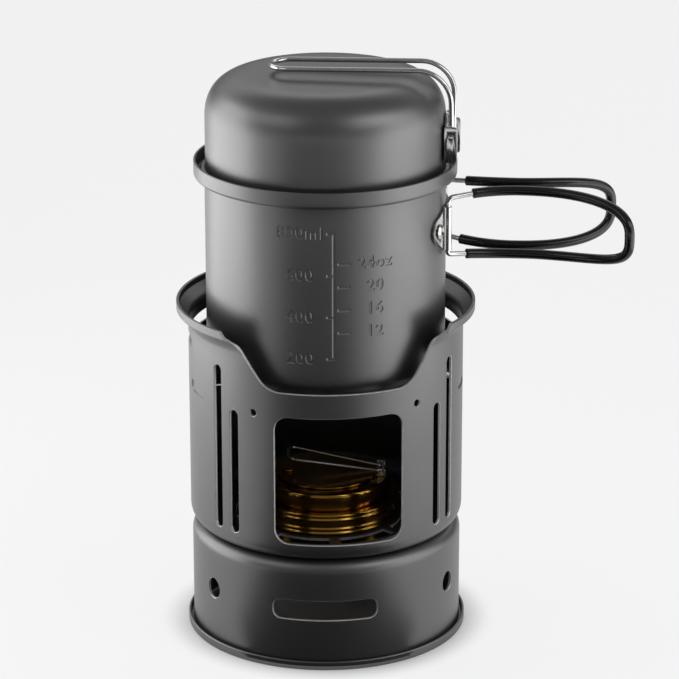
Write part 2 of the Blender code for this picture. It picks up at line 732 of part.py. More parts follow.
def make_regulator(brass, stainless):
    turn = make_empty("regulator_axis", REGULATOR_TURN)
    skirt = REGULATOR_RADIUS - REGULATOR_WALL
    plate_z = REGULATOR_TOP_Z - REGULATOR_WALL
    ring_line = profile([
        (skirt, REGULATOR_Z, 0.0),
        (REGULATOR_RADIUS, REGULATOR_Z, 0.0),
        (REGULATOR_RADIUS, REGULATOR_TOP_Z, REGULATOR_EDGE),
        (REGULATOR_PORT_RADIUS, REGULATOR_TOP_Z, 0.0),
        (REGULATOR_PORT_RADIUS, plate_z, 0.0),
        (skirt, plate_z, REGULATOR_EDGE - REGULATOR_WALL),
    ])
    ring = finish_object("regulator_ring", turned(ring_line, BURNER_SIDES), brass, parent=turn)
    pivot = Vector((-SHUTTER_PIVOT_OFFSET, 0, 0))
    hole = bmesh.new()
    reach = Vector((0, 0, REGULATOR_HEIGHT))
    centre = pivot + Vector((0, 0, REGULATOR_TOP_Z))
    add_bar(hole, centre - reach, centre + reach, SHUTTER_PIVOT_RADIUS + SEAT_GAP, SMALL_SIDES)
    cut(ring, hole)

    disc = turned(profile([
        (0.0, 0.0, 0.0),
        (SHUTTER_RADIUS, 0.0, 0.0),
        (SHUTTER_RADIUS, SHUTTER_SHEET, 0.0),
        (0.0, SHUTTER_SHEET, 0.0),
    ], closed=False), BURNER_SIDES)
    bmesh.ops.translate(disc, verts=disc.verts, vec=-pivot)
    shutter = finish_object(
        "regulator_shutter", disc, brass, location=pivot + Vector((0, 0, SHUTTER_Z)), parent=turn
    )
    hole = bmesh.new()
    add_bar(hole, -reach, reach, SHUTTER_PIVOT_RADIUS + RUNNING_GAP, SMALL_SIDES)
    cut(shutter, hole)

    head_low = SHUTTER_Z + SHUTTER_SHEET + SEAT_GAP
    tail_high = plate_z - SEAT_GAP
    pin = turned(profile([
        (0.0, tail_high - SHUTTER_SHEET, 0.0),
        (SHUTTER_PIVOT_HEAD, tail_high - SHUTTER_SHEET, 0.0),
        (SHUTTER_PIVOT_HEAD, tail_high, 0.0),
        (SHUTTER_PIVOT_RADIUS, tail_high, 0.0),
        (SHUTTER_PIVOT_RADIUS, head_low, 0.0),
        (SHUTTER_PIVOT_HEAD, head_low, 0.0),
        (SHUTTER_PIVOT_HEAD, head_low + SHUTTER_SHEET, SHUTTER_PIVOT_EDGE),
        (0.0, head_low + SHUTTER_SHEET, 0.0),
    ], closed=False), SMALL_SIDES)
    finish_object("regulator_pivot", pin, brass, location=pivot, parent=turn)

    cheek_y = REGULATOR_WIRE_HALF_WIDTH + REGULATOR_WIRE_BEND + SEAT_GAP
    cheek = REGULATOR_CHEEK
    inner_x = SHUTTER_RADIUS + 3 * SEAT_GAP
    hinge_x = inner_x + REGULATOR_CHEEK_LENGTH / 2
    seat_z = REGULATOR_TOP_Z + SEAT_GAP
    hinge_z = seat_z + REGULATOR_CHEEK_HEIGHT - REGULATOR_CHEEK_LENGTH / 2
    section = [
        (cheek_y + cheek, 0.0),
        (cheek_y + cheek, REGULATOR_CHEEK_HEIGHT),
        (cheek_y, REGULATOR_CHEEK_HEIGHT),
        (cheek_y, cheek),
        (-cheek_y, cheek),
        (-cheek_y, REGULATOR_CHEEK_HEIGHT),
        (-cheek_y - cheek, REGULATOR_CHEEK_HEIGHT),
        (-cheek_y - cheek, 0.0),
    ]
    line = [Vector((inner_x, y, seat_z + z)) for y, z in section]
    channel = prism(line, Vector((REGULATOR_CHEEK_LENGTH, 0, 0)))
    hinge = finish_object("regulator_hinge", channel, stainless, parent=turn)
    hole = bmesh.new()
    over = Vector((0, 2 * cheek_y, 0))
    centre = Vector((hinge_x, 0, hinge_z))
    add_bar(hole, centre - over, centre + over, REGULATOR_WIRE_RADIUS + RUNNING_GAP, SMALL_SIDES)
    cut(hinge, hole)

    pin_end = cheek_y + cheek + REGULATOR_WIRE_RADIUS
    rise = math.radians(REGULATOR_WIRE_RISE)
    end = Vector((-math.cos(rise), 0, math.sin(rise))) * REGULATOR_WIRE_LENGTH
    side = Vector((0, REGULATOR_WIRE_HALF_WIDTH, 0))
    end_side = Vector((0, REGULATOR_WIRE_END_HALF_WIDTH, 0))
    corners = [
        (Vector((0, -pin_end, 0)), 0),
        (-side, REGULATOR_WIRE_BEND),
        (end - end_side, REGULATOR_WIRE_END_BEND),
        (end + end_side, REGULATOR_WIRE_END_BEND),
        (side, REGULATOR_WIRE_BEND),
        (Vector((0, pin_end, 0)), 0),
    ]
    wire = tube(rounded(corners, closed=False), REGULATOR_WIRE_RADIUS, WIRE_SIDES - 2)
    finish_object("regulator_handle", wire, stainless, location=centre, parent=turn)


def make_pot(anodised):
    wall = POT_RADIUS - POT_WALL
    ledge_low = LEDGE_Z - POT_LEDGE
    line = profile([
        (0.0, POT_Z, 0.0),
        (POT_RADIUS, POT_Z, POT_CORNER),
        (POT_RADIUS, ledge_low, POT_NECK_BEND),
        (POT_RIM_RADIUS, ledge_low, POT_RIM_BEND),
        (POT_RIM_RADIUS, POT_RIM_Z, POT_RIM_EDGE),
        (POT_RIM_INNER, POT_RIM_Z, 0.0),
        (POT_RIM_INNER, LEDGE_Z, 0.0),
        (wall, LEDGE_Z, 0.0),
        (wall, POT_Z + POT_WALL, POT_CORNER - POT_WALL),
        (0.0, POT_Z + POT_WALL, 0.0),
    ], closed=False)
    pot = finish_object("pot_shell", turned(line, SHELL_SIDES), anodised)
    holes = bmesh.new()
    for angle in (-BRACKET_RIVET_ANGLE, 0.0, BRACKET_RIVET_ANGLE):
        start = polar(BRACKET_AZIMUTH + angle, wall - POT_CORNER, HANDLE_Z)
        end = polar(BRACKET_AZIMUTH + angle, POT_RADIUS + POT_CORNER, HANDLE_Z)
        add_bar(holes, start, end, RIVET_SHANK_RADIUS + SEAT_GAP, SMALL_SIDES)
    cut(pot, holes)


def make_pot_bracket(stainless):
    """A strap bent round the pot, with rounded ears, rivet holes and two upright knuckles."""
    inner = POT_RADIUS + SEAT_GAP
    outer = inner + BRACKET_SHEET
    low = HANDLE_Z - HANDLE_ROOT + HANDLE_FOOT_BEND + SEAT_GAP
    high = HANDLE_Z + HANDLE_ROOT - HANDLE_TOP_BEND - HANDLE_TOP_SHANK
    ear_angle = arc_degrees(BRACKET_EAR_RADIUS, outer)
    ear_steps = 5
    ear = []
    for step in range(1, ear_steps + 1):
        turn = math.radians(90 * step / (ear_steps + 1))
        half = BRACKET_EAR_RADIUS * math.sin(turn)
        ear.append((BRACKET_RIVET_ANGLE + ear_angle * math.cos(turn), HANDLE_Z - half, HANDLE_Z + half))
    shoulder = BRACKET_KNUCKLE_ANGLE + BRACKET_SHOULDER_ANGLE
    body = (shoulder, BRACKET_KNUCKLE_ANGLE, BRACKET_KNUCKLE_ANGLE / 3)
    half_columns = ear + [(angle, low, high) for angle in body]
    columns = half_columns + [(-angle, a, b) for angle, a, b in reversed(half_columns)]
    bm = bmesh.new()
    add_wrapped(bm, [(BRACKET_AZIMUTH - angle, a, b) for angle, a, b in columns], inner, outer)
    bracket = finish_object("pot_bracket", bm, stainless)
    knuckles = bmesh.new()
    bores = bmesh.new()
    for side in (-1, 1):
        foot = polar(BRACKET_AZIMUTH + side * BRACKET_KNUCKLE_ANGLE, HANDLE_HINGE_RADIUS, low)
        head = Vector((foot.x, foot.y, high))
        margin = Vector((0, 0, HANDLE_ROOT))
        add_bar(knuckles, foot, head, KNUCKLE_RADIUS, SMALL_SIDES)
        add_bar(bores, foot - margin, head + margin, KNUCKLE_BORE, SMALL_SIDES)
    knuckle_pair = finish_object("pot_bracket_knuckles", knuckles, None, parent=bracket)
    boolean(bracket, knuckle_pair, "UNION")
    for angle in (-BRACKET_RIVET_ANGLE, 0.0, BRACKET_RIVET_ANGLE):
        start = polar(BRACKET_AZIMUTH + angle, inner - POT_CORNER, HANDLE_Z)
        end = polar(BRACKET_AZIMUTH + angle, outer + POT_CORNER, HANDLE_Z)
        add_bar(bores, start, end, RIVET_SHANK_RADIUS + SEAT_GAP, SMALL_SIDES)
    cut(bracket, bores)
    places = {"front": -BRACKET_RIVET_ANGLE, "centre": 0.0, "rear": BRACKET_RIVET_ANGLE}
    grip = BRACKET_SHEET + POT_WALL + 3 * SEAT_GAP
    for place, angle in places.items():
        make_rivet(
            f"pot_rivet_{place}",
            BRACKET_AZIMUTH + angle,
            HANDLE_Z,
            outer + SEAT_GAP,
            grip,
            RIVET_HEAD_RADIUS,
            RIVET_HEAD_HEIGHT,
            RIVET_SHANK_RADIUS,
            stainless,
        )


def handle_half_height(s):
    """Half the loop's height between its root and its belly, at a distance from the hinge."""
    share = (HANDLE_BELLY_AT - s) / HANDLE_BELLY_AT
    return HANDLE_ROOT + (HANDLE_BELLY - HANDLE_ROOT) * (1 - share * share)


def handle_elevation(length):
    """The loop seen from the side: its upper shank, the part under the sleeve, and its lower shank."""
    power = 2 / HANDLE_POWER
    near_steps = 3
    far_steps = 8
    end = []
    for step in range(1, far_steps):
        turn = math.radians(90 * step / far_steps)
        s = HANDLE_BELLY_AT + (length - HANDLE_BELLY_AT) * math.sin(turn) ** power
        end.append((s, HANDLE_BELLY * math.cos(turn) ** power))

    def leg(bare, side):
        run = (HANDLE_BELLY_AT - bare) / near_steps
        near = [(bare + run * step, handle_half_height(bare + run * step)) for step in range(near_steps + 1)]
        return [Vector((s, 0, side * z)) for s, z in near + end]

    covered = leg(HANDLE_BARE_TOP, 1) + [Vector((length, 0, 0))] + leg(HANDLE_BARE_FOOT, -1)[::-1]
    half_gap = HANDLE_PIN_GAP / 2
    top = rounded([
        (Vector((0, 0, half_gap)), 0),
        (Vector((0, 0, HANDLE_ROOT)), HANDLE_TOP_BEND),
        (covered[0], 0),
    ], closed=False)
    foot = rounded([
        (covered[-1], 0),
        (Vector((0, 0, -HANDLE_ROOT)), HANDLE_FOOT_BEND),
        (Vector((0, 0, -half_gap)), 0),
    ], closed=False)
    return top[:-1], covered, foot[1:]


def make_pot_handles(stainless, vinyl):
    """Two wire loops on upright pins, each bowed to fold round the pot and covered by a sleeve."""
    for side, name in ((-1, "front"), (1, "rear")):
        hinge = polar(BRACKET_AZIMUTH + side * BRACKET_KNUCKLE_ANGLE, HANDLE_HINGE_RADIUS, HANDLE_Z)

        def bowed(line):
            turns = [(point.x / HANDLE_BOW_RADIUS, point.z) for point in line]
            bow = HANDLE_BOW_RADIUS
            return [Vector((bow * math.sin(t), side * bow * (1 - math.cos(t)), z)) for t, z in turns]

        top, covered, foot = handle_elevation(HANDLE_LENGTHS[name])
        turn = HANDLE_REST_TURNS[name]
        wire = tube(bowed(top + covered + foot), HANDLE_WIRE_RADIUS, WIRE_SIDES - 2)
        finish_object(f"handle_wire_{name}", wire, stainless, location=hinge, turn=turn)
        cover = tube(bowed(covered), HANDLE_SLEEVE_RADIUS, WIRE_SIDES, bore=HANDLE_WIRE_RADIUS + SEAT_GAP)
        finish_object(f"handle_sleeve_{name}", cover, vinyl, location=hinge, turn=turn)


def shoulder_line(radius, top, width, height, steps):
    """The lid's shoulder, from its upright wall to its flat top."""
    power = 2 / LID_SHOULDER_POWER
    line = []
    for step in range(steps + 1):
        turn = math.radians(90 * step / steps)
        inset = width * (1 - math.cos(turn) ** power)
        drop = height * (1 - math.sin(turn) ** power)
        line.append((radius - inset, top - drop))
    return line


def make_lid(anodised, axis):
    inside = LID_RADIUS - LID_WALL
    curl = POT_RIM_INNER - LID_CURL_GAP
    outer = shoulder_line(LID_RADIUS, LID_TOP_Z, LID_SHOULDER_WIDTH, LID_SHOULDER_HEIGHT, 7)
    inner = shoulder_line(
        inside,
        LID_TOP_Z - LID_WALL,
        LID_SHOULDER_WIDTH - LID_WALL / 2,
        LID_SHOULDER_HEIGHT - LID_WALL / 2,
        5,
    )
    corners = [(0.0, LID_TOP_Z - LID_WALL, 0.0)]
    corners += [(r, z, 0.0) for r, z in reversed(inner)]
    corners += [
        (inside, LID_Z, 0.0),
        (curl, LID_Z, LID_CURL_BEND),
        (curl, LID_Z + LID_CURL, LID_CURL_BEND),
        (LID_RADIUS, LID_Z + LID_CURL, LID_CURL_BEND),
    ]
    corners += [(r, z, 0.0) for r, z in outer]
    corners.append((0.0, LID_TOP_Z, 0.0))
    line = profile(corners, closed=False)
    lid = finish_object("lid_bowl", turned(line, SHELL_SIDES), anodised, parent=axis)
    holes = bmesh.new()
    for z in lid_rivet_heights():
        reach = Vector((LID_SHOULDER_WIDTH / 2, 0, 0))
        centre = Vector((LID_RADIUS, 0, z))
        add_bar(holes, centre - reach, centre + reach, LID_RIVET_SHANK_RADIUS + SEAT_GAP, SMALL_SIDES)
    cut(lid, holes)


def lid_rivet_heights():
    lower = LID_BRACKET_Z + LID_RIVET_EDGE - LID_WIRE_RADIUS / 2
    upper = LID_BRACKET_Z + LID_BRACKET_HEIGHT + LID_TONGUE_HEIGHT - LID_RIVET_EDGE
    return lower, upper


def make_lid_bracket(stainless, axis):
    """A channel on the lid's wall: two cheeks for the handle's pins and a tongue above them."""
    sheet = LID_BRACKET_SHEET
    cheek_y = LID_WIRE_FOOT_HALF_WIDTH + LID_WIRE_FOOT_BEND + SEAT_GAP
    half = cheek_y + sheet
    back = LID_BRACKET_BACK
    cheek_top = LID_BRACKET_Z + LID_BRACKET_HEIGHT
    tongue_top = cheek_top + LID_TONGUE_HEIGHT
    tongue = LID_TONGUE_HALF_WIDTH
    plate = [
        (-cheek_y, LID_BRACKET_Z, 0.0),
        (cheek_y, LID_BRACKET_Z, 0.0),
        (cheek_y, cheek_top, 0.0),
        (tongue, cheek_top, LID_BRACKET_CORNER),
        (tongue, tongue_top, LID_TONGUE_CORNER),
        (-tongue, tongue_top, LID_TONGUE_CORNER),
        (-tongue, cheek_top, LID_BRACKET_CORNER),
        (-cheek_y, cheek_top, 0.0),
    ]
    line = rounded([(Vector((back, y, z)), bend) for y, z, bend in plate], closed=True)
    bm = bmesh.new()
    bm.faces.new([bm.verts.new(point) for point in line])
    for inner, outer in ((-cheek_y, -half), (cheek_y, half)):
        corners = ((inner, LID_BRACKET_Z), (outer, LID_BRACKET_Z), (outer, cheek_top), (inner, cheek_top))
        bm.faces.new([bm.verts.new((back, y, z)) for y, z in corners])
    bmesh.ops.remove_doubles(bm, verts=bm.verts, dist=1e-6)
    fronts = bmesh.ops.extrude_face_region(bm, geom=bm.faces[:])["geom"]
    moved = [item for item in fronts if isinstance(item, bmesh.types.BMVert)]
    bmesh.ops.translate(bm, verts=moved, vec=(sheet, 0, 0))
    wings = [
        item for item in fronts
        if isinstance(item, bmesh.types.BMFace) and abs(item.calc_center_median().y) > cheek_y
    ]
    wing_tips = bmesh.ops.extrude_face_region(bm, geom=wings)["geom"]
    moved = [item for item in wing_tips if isinstance(item, bmesh.types.BMVert)]
    bmesh.ops.translate(bm, verts=moved, vec=(LID_BRACKET_DEPTH - sheet, 0, 0))
    bmesh.ops.delete(bm, geom=wings, context="FACES_ONLY")
    tips = [item for item in wing_tips if isinstance(item, bmesh.types.BMEdge)]
    ends = [edge for edge in tips if abs(edge.verts[0].co.z - edge.verts[1].co.z) < sheet]
    bmesh.ops.bevel(bm, geom=ends, offset=LID_BRACKET_CORNER, segments=2, profile=0.5, affect="EDGES")
    bracket = finish_object("lid_bracket", bm, stainless, parent=axis)
    holes = bmesh.new()
    over = Vector((0, 2 * half, 0))
    pivot = Vector((LID_PIVOT_X, 0, LID_PIVOT_Z))
    add_bar(holes, pivot - over, pivot + over, LID_WIRE_RADIUS + RUNNING_GAP, SMALL_SIDES)
    reach = Vector((LID_BRACKET_DEPTH, 0, 0))
    for z in lid_rivet_heights():
        centre = Vector((back, 0, z))
        add_bar(holes, centre - reach, centre + reach, LID_RIVET_SHANK_RADIUS + SEAT_GAP, SMALL_SIDES)
    cut(bracket, holes)
    for place, z in zip(("lower", "upper"), lid_rivet_heights()):
        make_rivet(
            f"lid_rivet_{place}",
            90,
            z,
            back + sheet + SEAT_GAP,
            sheet + LID_WALL + 8 * SEAT_GAP,
            LID_RIVET_HEAD_RADIUS,
            LID_RIVET_HEAD_HEIGHT,
            LID_RIVET_SHANK_RADIUS,
            stainless,
            parent=axis,
        )


def make_lid_handle(stainless, axis):
    """A wire bail pinned in the bracket's cheeks that lies over the lid."""
    pin_end = LID_WIRE_FOOT_HALF_WIDTH + LID_WIRE_FOOT_BEND + LID_BRACKET_SHEET + 4 * SEAT_GAP
    top_z = LID_TOP_Z + LID_WIRE_CLEARANCE + LID_WIRE_RADIUS - LID_PIVOT_Z
    far_x = -LID_PIVOT_X - LID_WIRE_OVERSHOOT
    cheek_top = LID_BRACKET_HEIGHT - LID_BRACKET_PIVOT_HEIGHT
    rise = [
        (Vector((0, 0, 0)), 0),
        (Vector((0, 0, top_z + LID_WIRE_SLOPE)), LID_WIRE_BEND),
        (Vector((far_x, 0, top_z)), 0),
    ]
    bend = rounded(rise, closed=False)[1:-1]

    def half_route(side):
        route = [
            (Vector((0, side * pin_end, 0)), 0),
            (Vector((0, side * LID_WIRE_FOOT_HALF_WIDTH, 0)), LID_WIRE_FOOT_BEND),
            (Vector((0, side * LID_WIRE_FOOT_HALF_WIDTH, cheek_top)), 0),
        ]
        for point in bend:
            share = min((point.z - cheek_top) / (LID_WIRE_SPREAD * top_z - cheek_top), 1.0)
            spread = LID_WIRE_TOP_HALF_WIDTH - LID_WIRE_FOOT_HALF_WIDTH
            half = LID_WIRE_FOOT_HALF_WIDTH + spread * share * share * (3 - 2 * share)
            route.append((Vector((point.x, side * half, point.z)), 0))
        route.append((Vector((far_x, side * LID_WIRE_TOP_HALF_WIDTH, top_z)), LID_WIRE_END_BEND))
        return route

    corners = half_route(-1) + half_route(1)[::-1]
    wire = tube(rounded(corners, closed=False), LID_WIRE_RADIUS, WIRE_SIDES)
    pivot = Vector((LID_PIVOT_X, 0, LID_PIVOT_Z))
    finish_object("lid_handle_wire", wire, stainless, location=pivot, parent=axis)


def main():
    for old in list(bpy.data.objects):
        bpy.data.objects.remove(old, do_unlink=True)
    anodised = make_material("anodised_aluminium", (0.13, 0.13, 0.135), 0.7, 0.5)
    stainless = make_material("stainless_steel", (0.62, 0.62, 0.63), 1.0, 0.2)
    vinyl = make_material("black_vinyl", (0.012, 0.012, 0.013), 0.0, 0.3)
    brass = make_material("brass", (0.62, 0.42, 0.14), 1.0, 0.22)
    cotton = make_material("cotton_wick", (0.75, 0.72, 0.65), 0.0, 0.9)
    make_base_stand(anodised)
    make_windscreen(anodised)
    make_pot_supports(stainless)
    make_burner(brass, cotton)
    make_regulator(brass, stainless)
    make_pot(anodised)
    make_pot_bracket(stainless)
    make_pot_handles(stainless, vinyl)
    lid_axis = make_empty("lid_axis", LID_TURN)
    make_lid(anodised, lid_axis)
    make_lid_bracket(stainless, lid_axis)
    make_lid_handle(stainless, lid_axis)


main()
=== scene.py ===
import math

import bpy
from mathutils import Matrix, Vector


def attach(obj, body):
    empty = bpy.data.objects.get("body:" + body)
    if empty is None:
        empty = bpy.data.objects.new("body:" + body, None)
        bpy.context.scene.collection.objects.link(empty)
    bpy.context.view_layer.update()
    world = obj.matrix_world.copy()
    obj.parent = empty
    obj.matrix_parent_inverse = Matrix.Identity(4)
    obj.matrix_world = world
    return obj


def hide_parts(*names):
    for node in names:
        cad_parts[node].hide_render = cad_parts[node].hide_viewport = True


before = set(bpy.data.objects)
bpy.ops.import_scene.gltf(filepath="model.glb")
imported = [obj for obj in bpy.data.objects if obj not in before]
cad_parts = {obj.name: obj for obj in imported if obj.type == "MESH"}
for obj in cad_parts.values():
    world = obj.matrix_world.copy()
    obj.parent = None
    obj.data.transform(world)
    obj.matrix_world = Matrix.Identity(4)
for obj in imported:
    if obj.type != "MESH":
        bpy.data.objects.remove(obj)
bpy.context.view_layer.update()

MM = 0.001

# Fineness: steps round pieces, bars and wires, angles in degrees and spacings in millimetres
SHELL_STEPS = 128
CROWN_STEPS = 96
SMALL_STEPS = 40
BAR_SIDES = 32
CORNER_STEPS = 8
JET_SIDES = 12
ARC_STEP = 10.0
RING_SPACING = 5.0
COLUMN_STEP = 3.0
SMOOTH_ANGLE = 32.0
FLAT_ANGLE = 0.5
MERGE = 0.001
WIRE_FINENESS = 4

# Edges: breaks and bevels in millimetres, shares of a size, and angles in degrees
ROUND_END = 0.499
FILLET_REACH = 0.49
EDGE_BREAK = 0.28
SHEET_EDGE = 0.2
HINGE_EDGE = 0.15
SLEEVE_EDGE = 0.3
WIRE_END_SHARE = 0.3
SHARP_ANGLE = 60.0
SHEET_SHARP_ANGLE = 50.0

# How squarely a wall's or shoulder's face looks outwards, how it tips, and its least area in square mm
WALL_FACING = 0.9993
SHOULDER_FACING = 0.9
SHOULDER_RISE = 0.02
SLIVER = 0.6

# Turns of the stacked parts about the stove's axis, in degrees
SCREEN_TURN = 1.5
REGULATOR_TURN = -4.5
LID_TURN = -11.5

# Base stand, in millimetres
BASE_RADIUS = 65.0
BASE_WALL = 1.2
BASE_HEIGHT = 53.5
BASE_SHOULDER = 6.0
BASE_MOUTH = 50.0
FOOT_RADIUS = 67.6
FOOT_HEIGHT = 4.2
FOOT_CURL = 1.2
BASE_SLOT = {"azimuth": -4.9, "half": 22.4, "middle": 29.3, "height": 9.8, "corner": 4.0}
BASE_AIR_HOLES = (-60.5, 59.5, -120.5, 119.5, 179.5)
BASE_AIR_HOLE_RADIUS = 5.0

# Windscreen
SCREEN_RADIUS = 65.75
SCREEN_WALL = 1.2
SCREEN_LOW = 53.8
SCREEN_FLOOR = SCREEN_LOW + SCREEN_WALL
SCREEN_TOP = 164.2
SCREEN_CORNER = 8.0
SCREEN_RIM = 71.35
SCREEN_BAND = 4.3
SCREEN_RIM_SHEET = 1.5
SCREEN_NECK = 4.6
LOCATING_BEAD = (45.95, 47.75, 49.55, 51.8)
BURNER_HOLE = 33.4
CUT_INNER = 57.5
CUT_OUTER = 77.0
WINDOW = {"half": 27.4, "low": 9.0, "high": 72.0, "corner": 7.0}
CUTOUT_DEPTH = 26.6
CUTOUT_FLOOR_HALF = 30.6
CUTOUT_TOP_HALF = 49.3
CUTOUT_FILLET = 13.5
SLOT_HALF_WIDTH = 2.6
SLOT_LOW = 9.5
SLOTS = ((56.4, 90.8), (46.9, 70.9))
WIRE_HOLES = ((-37.0, 72.1), (34.6, 74.4))
WIRE_HOLE_RADIUS = 1.8
VENT = {"middle": 103.75, "half": 22.25, "low": 90.2, "high": 95.8}
PRESSED_MARK = {"half": 7.3, "low": 70.2, "high": 74.8, "depth": 0.6}
SUPPORT_AZIMUTHS = {"left": -74.5, "right": 74.5, "rear": 180.0}
AIR_SLOTS = {"count": 8, "inner": 37.2, "outer": 44.2, "bar": 5.0}

# Burner and flame regulator
BURNER_RADIUS = 32.8
BURNER_LOW = 31.0
BURNER_SEAT = 55.3
BURNER_TOP = 65.9
BURNER_COLLAR = 34.4
BURNER_BORE = 31.8
BURNER_FLOOR = 32.0
RIDGE_HEIGHTS = (0.9, 3.0, 7.6, 9.7)
RIDGE = 0.8
RIDGE_HALF = 0.9
CUP_RADIUS = 23.0
CUP_LOW = 34.0
CUP_WALL = 1.0
JET_LAND = 28.7
JET_EDGE = 31.5
JET_LAND_Z = 65.6
JET_THROAT_Z = 61.6
JET_COUNT = 16
JET_CIRCLE = 26.35
JET_RADIUS = 0.7
JET_DRILL = 4.0
REGULATOR_RADIUS = 30.5
REGULATOR_WALL = 0.8
REGULATOR_TOP = 74.5
REGULATOR_PORT = 14.0
SHUTTER_RADIUS = 24.0
SHUTTER_LOW = 74.8
SHUTTER_HIGH = 75.6
PIVOT = {"offset": 18.5, "radius": 1.5, "head": 2.8, "thickness": 0.8, "play": 0.3}
REGULATOR_HINGE = (26.8, 0.0, 76.7)
REGULATOR_WIRE = {"radius": 0.8, "length": 46.0, "foot": 3.6, "half": 9.0, "rise": 10.5, "pin": 7.1}
REGULATOR_WIRE_BENDS = (1.6, 4.5)

# Cooking pot
POT_RADIUS = 57.0
POT_WALL = 1.0
POT_LOW = 130.0
POT_HIGH = 233.4
POT_CORNER = 10.0
POT_RIM = 62.15
POT_RIM_INNER = 60.95
POT_LEDGE = 226.8
POT_BAND_LOW = 225.6

# Volume scale pressed into the pot: azimuths in degrees, heights and widths in millimetres
SCALE_LINE = -0.6
SCALE_HALF_WIDTH = 0.35
SCALE_DEPTH = 0.4
SCALE_LEAN = 0.2
SCALE_LEFT = {"tick": (-3.6, SCALE_LINE), "figures": -16.4, "top": 212.5, "step": 20.1}
SCALE_RIGHT = {"tick": (1.6, 6.9), "figures": 19.3, "top": 197.9, "step": 11.05}
SCALE_LEFT_MARKS = ("800ml", "600", "400", "200")
SCALE_RIGHT_MARKS = ("24oz", "20", "16", "12")
FIGURE_SIZE = 7.9
FIGURE_SPACING = 1.15
FIGURE_STEPS = 4
FIGURE_SLOPE = 0.28

# Handle bracket and folding handles of the pot
BRACKET_INNER = 57.3
BRACKET_OUTER = 58.2
BRACKET_LOW = 192.1
BRACKET_HIGH = 213.1
BRACKET_AZIMUTH = 87.5
KNUCKLE_ANGLE = 16.0
KNUCKLE_RADIUS = 1.9
KNUCKLE_BORE = 1.4
BRACKET_SHOULDER_ANGLE = 18.0
RIVET_ANGLE = 25.5
EAR_RADIUS = 6.5
EAR_STEPS = 9
NECK_STEPS = 5
HINGE_RADIUS = 59.2
HANDLE_Z = 203.6
HANDLE_WIRE = 1.25
HANDLE_SLEEVE = 2.4
HANDLE_SLEEVE_BORE = 1.45
HANDLE_BARE_TOP = 12.5
HANDLE_BARE_FOOT = 9.5
HANDLE_BELLY = 15.5
HANDLE_BELLY_AT = 35.0
HANDLE_ROOT = 13.6
HANDLE_POWER = 3.1
HANDLE_STEPS = (12, 24)
HANDLE_BOW = 66.7
HANDLE_TOP_BEND = 3.0
HANDLE_FOOT_BEND = 1.8
HANDLE_PIN_HALF_GAP = 3.0
HANDLES = {"front": (-1, 93.8, 21.2), "rear": (1, 86.4, -40.8)}
POT_RIVET = {"head": 3.5, "height": 1.4, "shank": 1.8, "grip": 2.8, "surface": 58.5}

# Shapes of the rivets, as shares of the head's radius and height, and of the shank's radius and the height
RIVET_DOME = (0.62, 0.92)
RIVET_RIM = 0.3
RIVET_TAIL = (1.5, 0.5)

# Lid, its bracket and its wire handle
LID_RADIUS = 56.6
LID_WALL = 1.0
LID_LOW = 227.1
LID_TOP = 273.9
LID_SHOULDER = (20.0, 20.0)
LID_SHOULDER_STEPS = {"inner": 24, "outer": 28}
LID_POWER = 2.3
LID_CURL = (58.95, 229.4)
LID_PIVOT = (59.9, 0.0, 247.1)
LID_WIRE = 1.2
LID_WIRE_TOP_HALF = 9.6
LID_WIRE_FOOT_HALF = 6.4
LID_WIRE_FOOT_BEND = 1.8
LID_WIRE_BEND = 21.0
LID_WIRE_END_BEND = 8.5
LID_WIRE_PIN = 10.4
LID_WIRE_TOP = 30.5
LID_WIRE_SLOPE = 1.4
LID_WIRE_SPREAD = 0.8
LID_WIRE_FAR = -84.9
LID_CHEEK_TOP = 5.1
LID_RIVET = {"head": 2.4, "height": 1.1, "shank": 1.2, "grip": 4.4, "surface": 58.2}
LID_RIVET_HEIGHTS = {"lower": 237.4, "upper": 254.2}

# Camera at the photograph's viewing angle, in metres and degrees
CAMERA_PLACE = (-0.1111, -1.4944, 0.6522)
CAMERA_HEADING = (0.0785, 0.9969)
CAMERA_PITCH = 18.78
CAMERA_ROLL = -0.07
CAMERA_LENS = 175.1
CAMERA_SENSOR = 36.0

# Stage, in metres: the table, how much of its look is even, where the stove shades it, and the flag on it
TABLE_SIZE = 12.0
TABLE_GLOW = 0.85
TABLE_SHADE = (0.061, 0.083)
FLAG = ((-0.09, -0.05), (0.075, -0.06), (0.34, -0.95), (-0.95, -0.95))
FLAG_HEIGHT = 0.002
ROOM_LIGHT = (0.12, 0.28)
STOVE_MIDDLE = (0.0, 0.0, 0.2)
ABOVE_STOVE = (0.0, 0.0, 0.71)

# Softboxes: what each looks at, its place, its width and height in metres, and its power in watts
SOFTBOXES = {
    "left_softbox": (ABOVE_STOVE, (-0.58, 0.17, 0.41), 0.55, 0.88, 4.3),
    "right_softbox": (ABOVE_STOVE, (0.575, -0.187, 0.41), 0.5, 0.88, 2.3),
    "left_high_softbox": (STOVE_MIDDLE, (-0.57, -0.40, 0.71), 0.5, 0.35, 0.6),
    "right_high_softbox": (STOVE_MIDDLE, (0.49, -0.49, 0.71), 0.5, 0.35, 1.1),
    "back_softbox": (STOVE_MIDDLE, (0.0, 1.5, 1.2), 4.0, 0.9, 11.0),
}


# Colours and nodes

def linear(colour):
    """An sRGB hex colour as linear red, green, blue and alpha."""
    channels = [int(colour[index:index + 2], 16) / 255 for index in (0, 2, 4)]
    return [c / 12.92 if c <= 0.04045 else ((c + 0.055) / 1.055) ** 2.4 for c in channels] + [1.0]


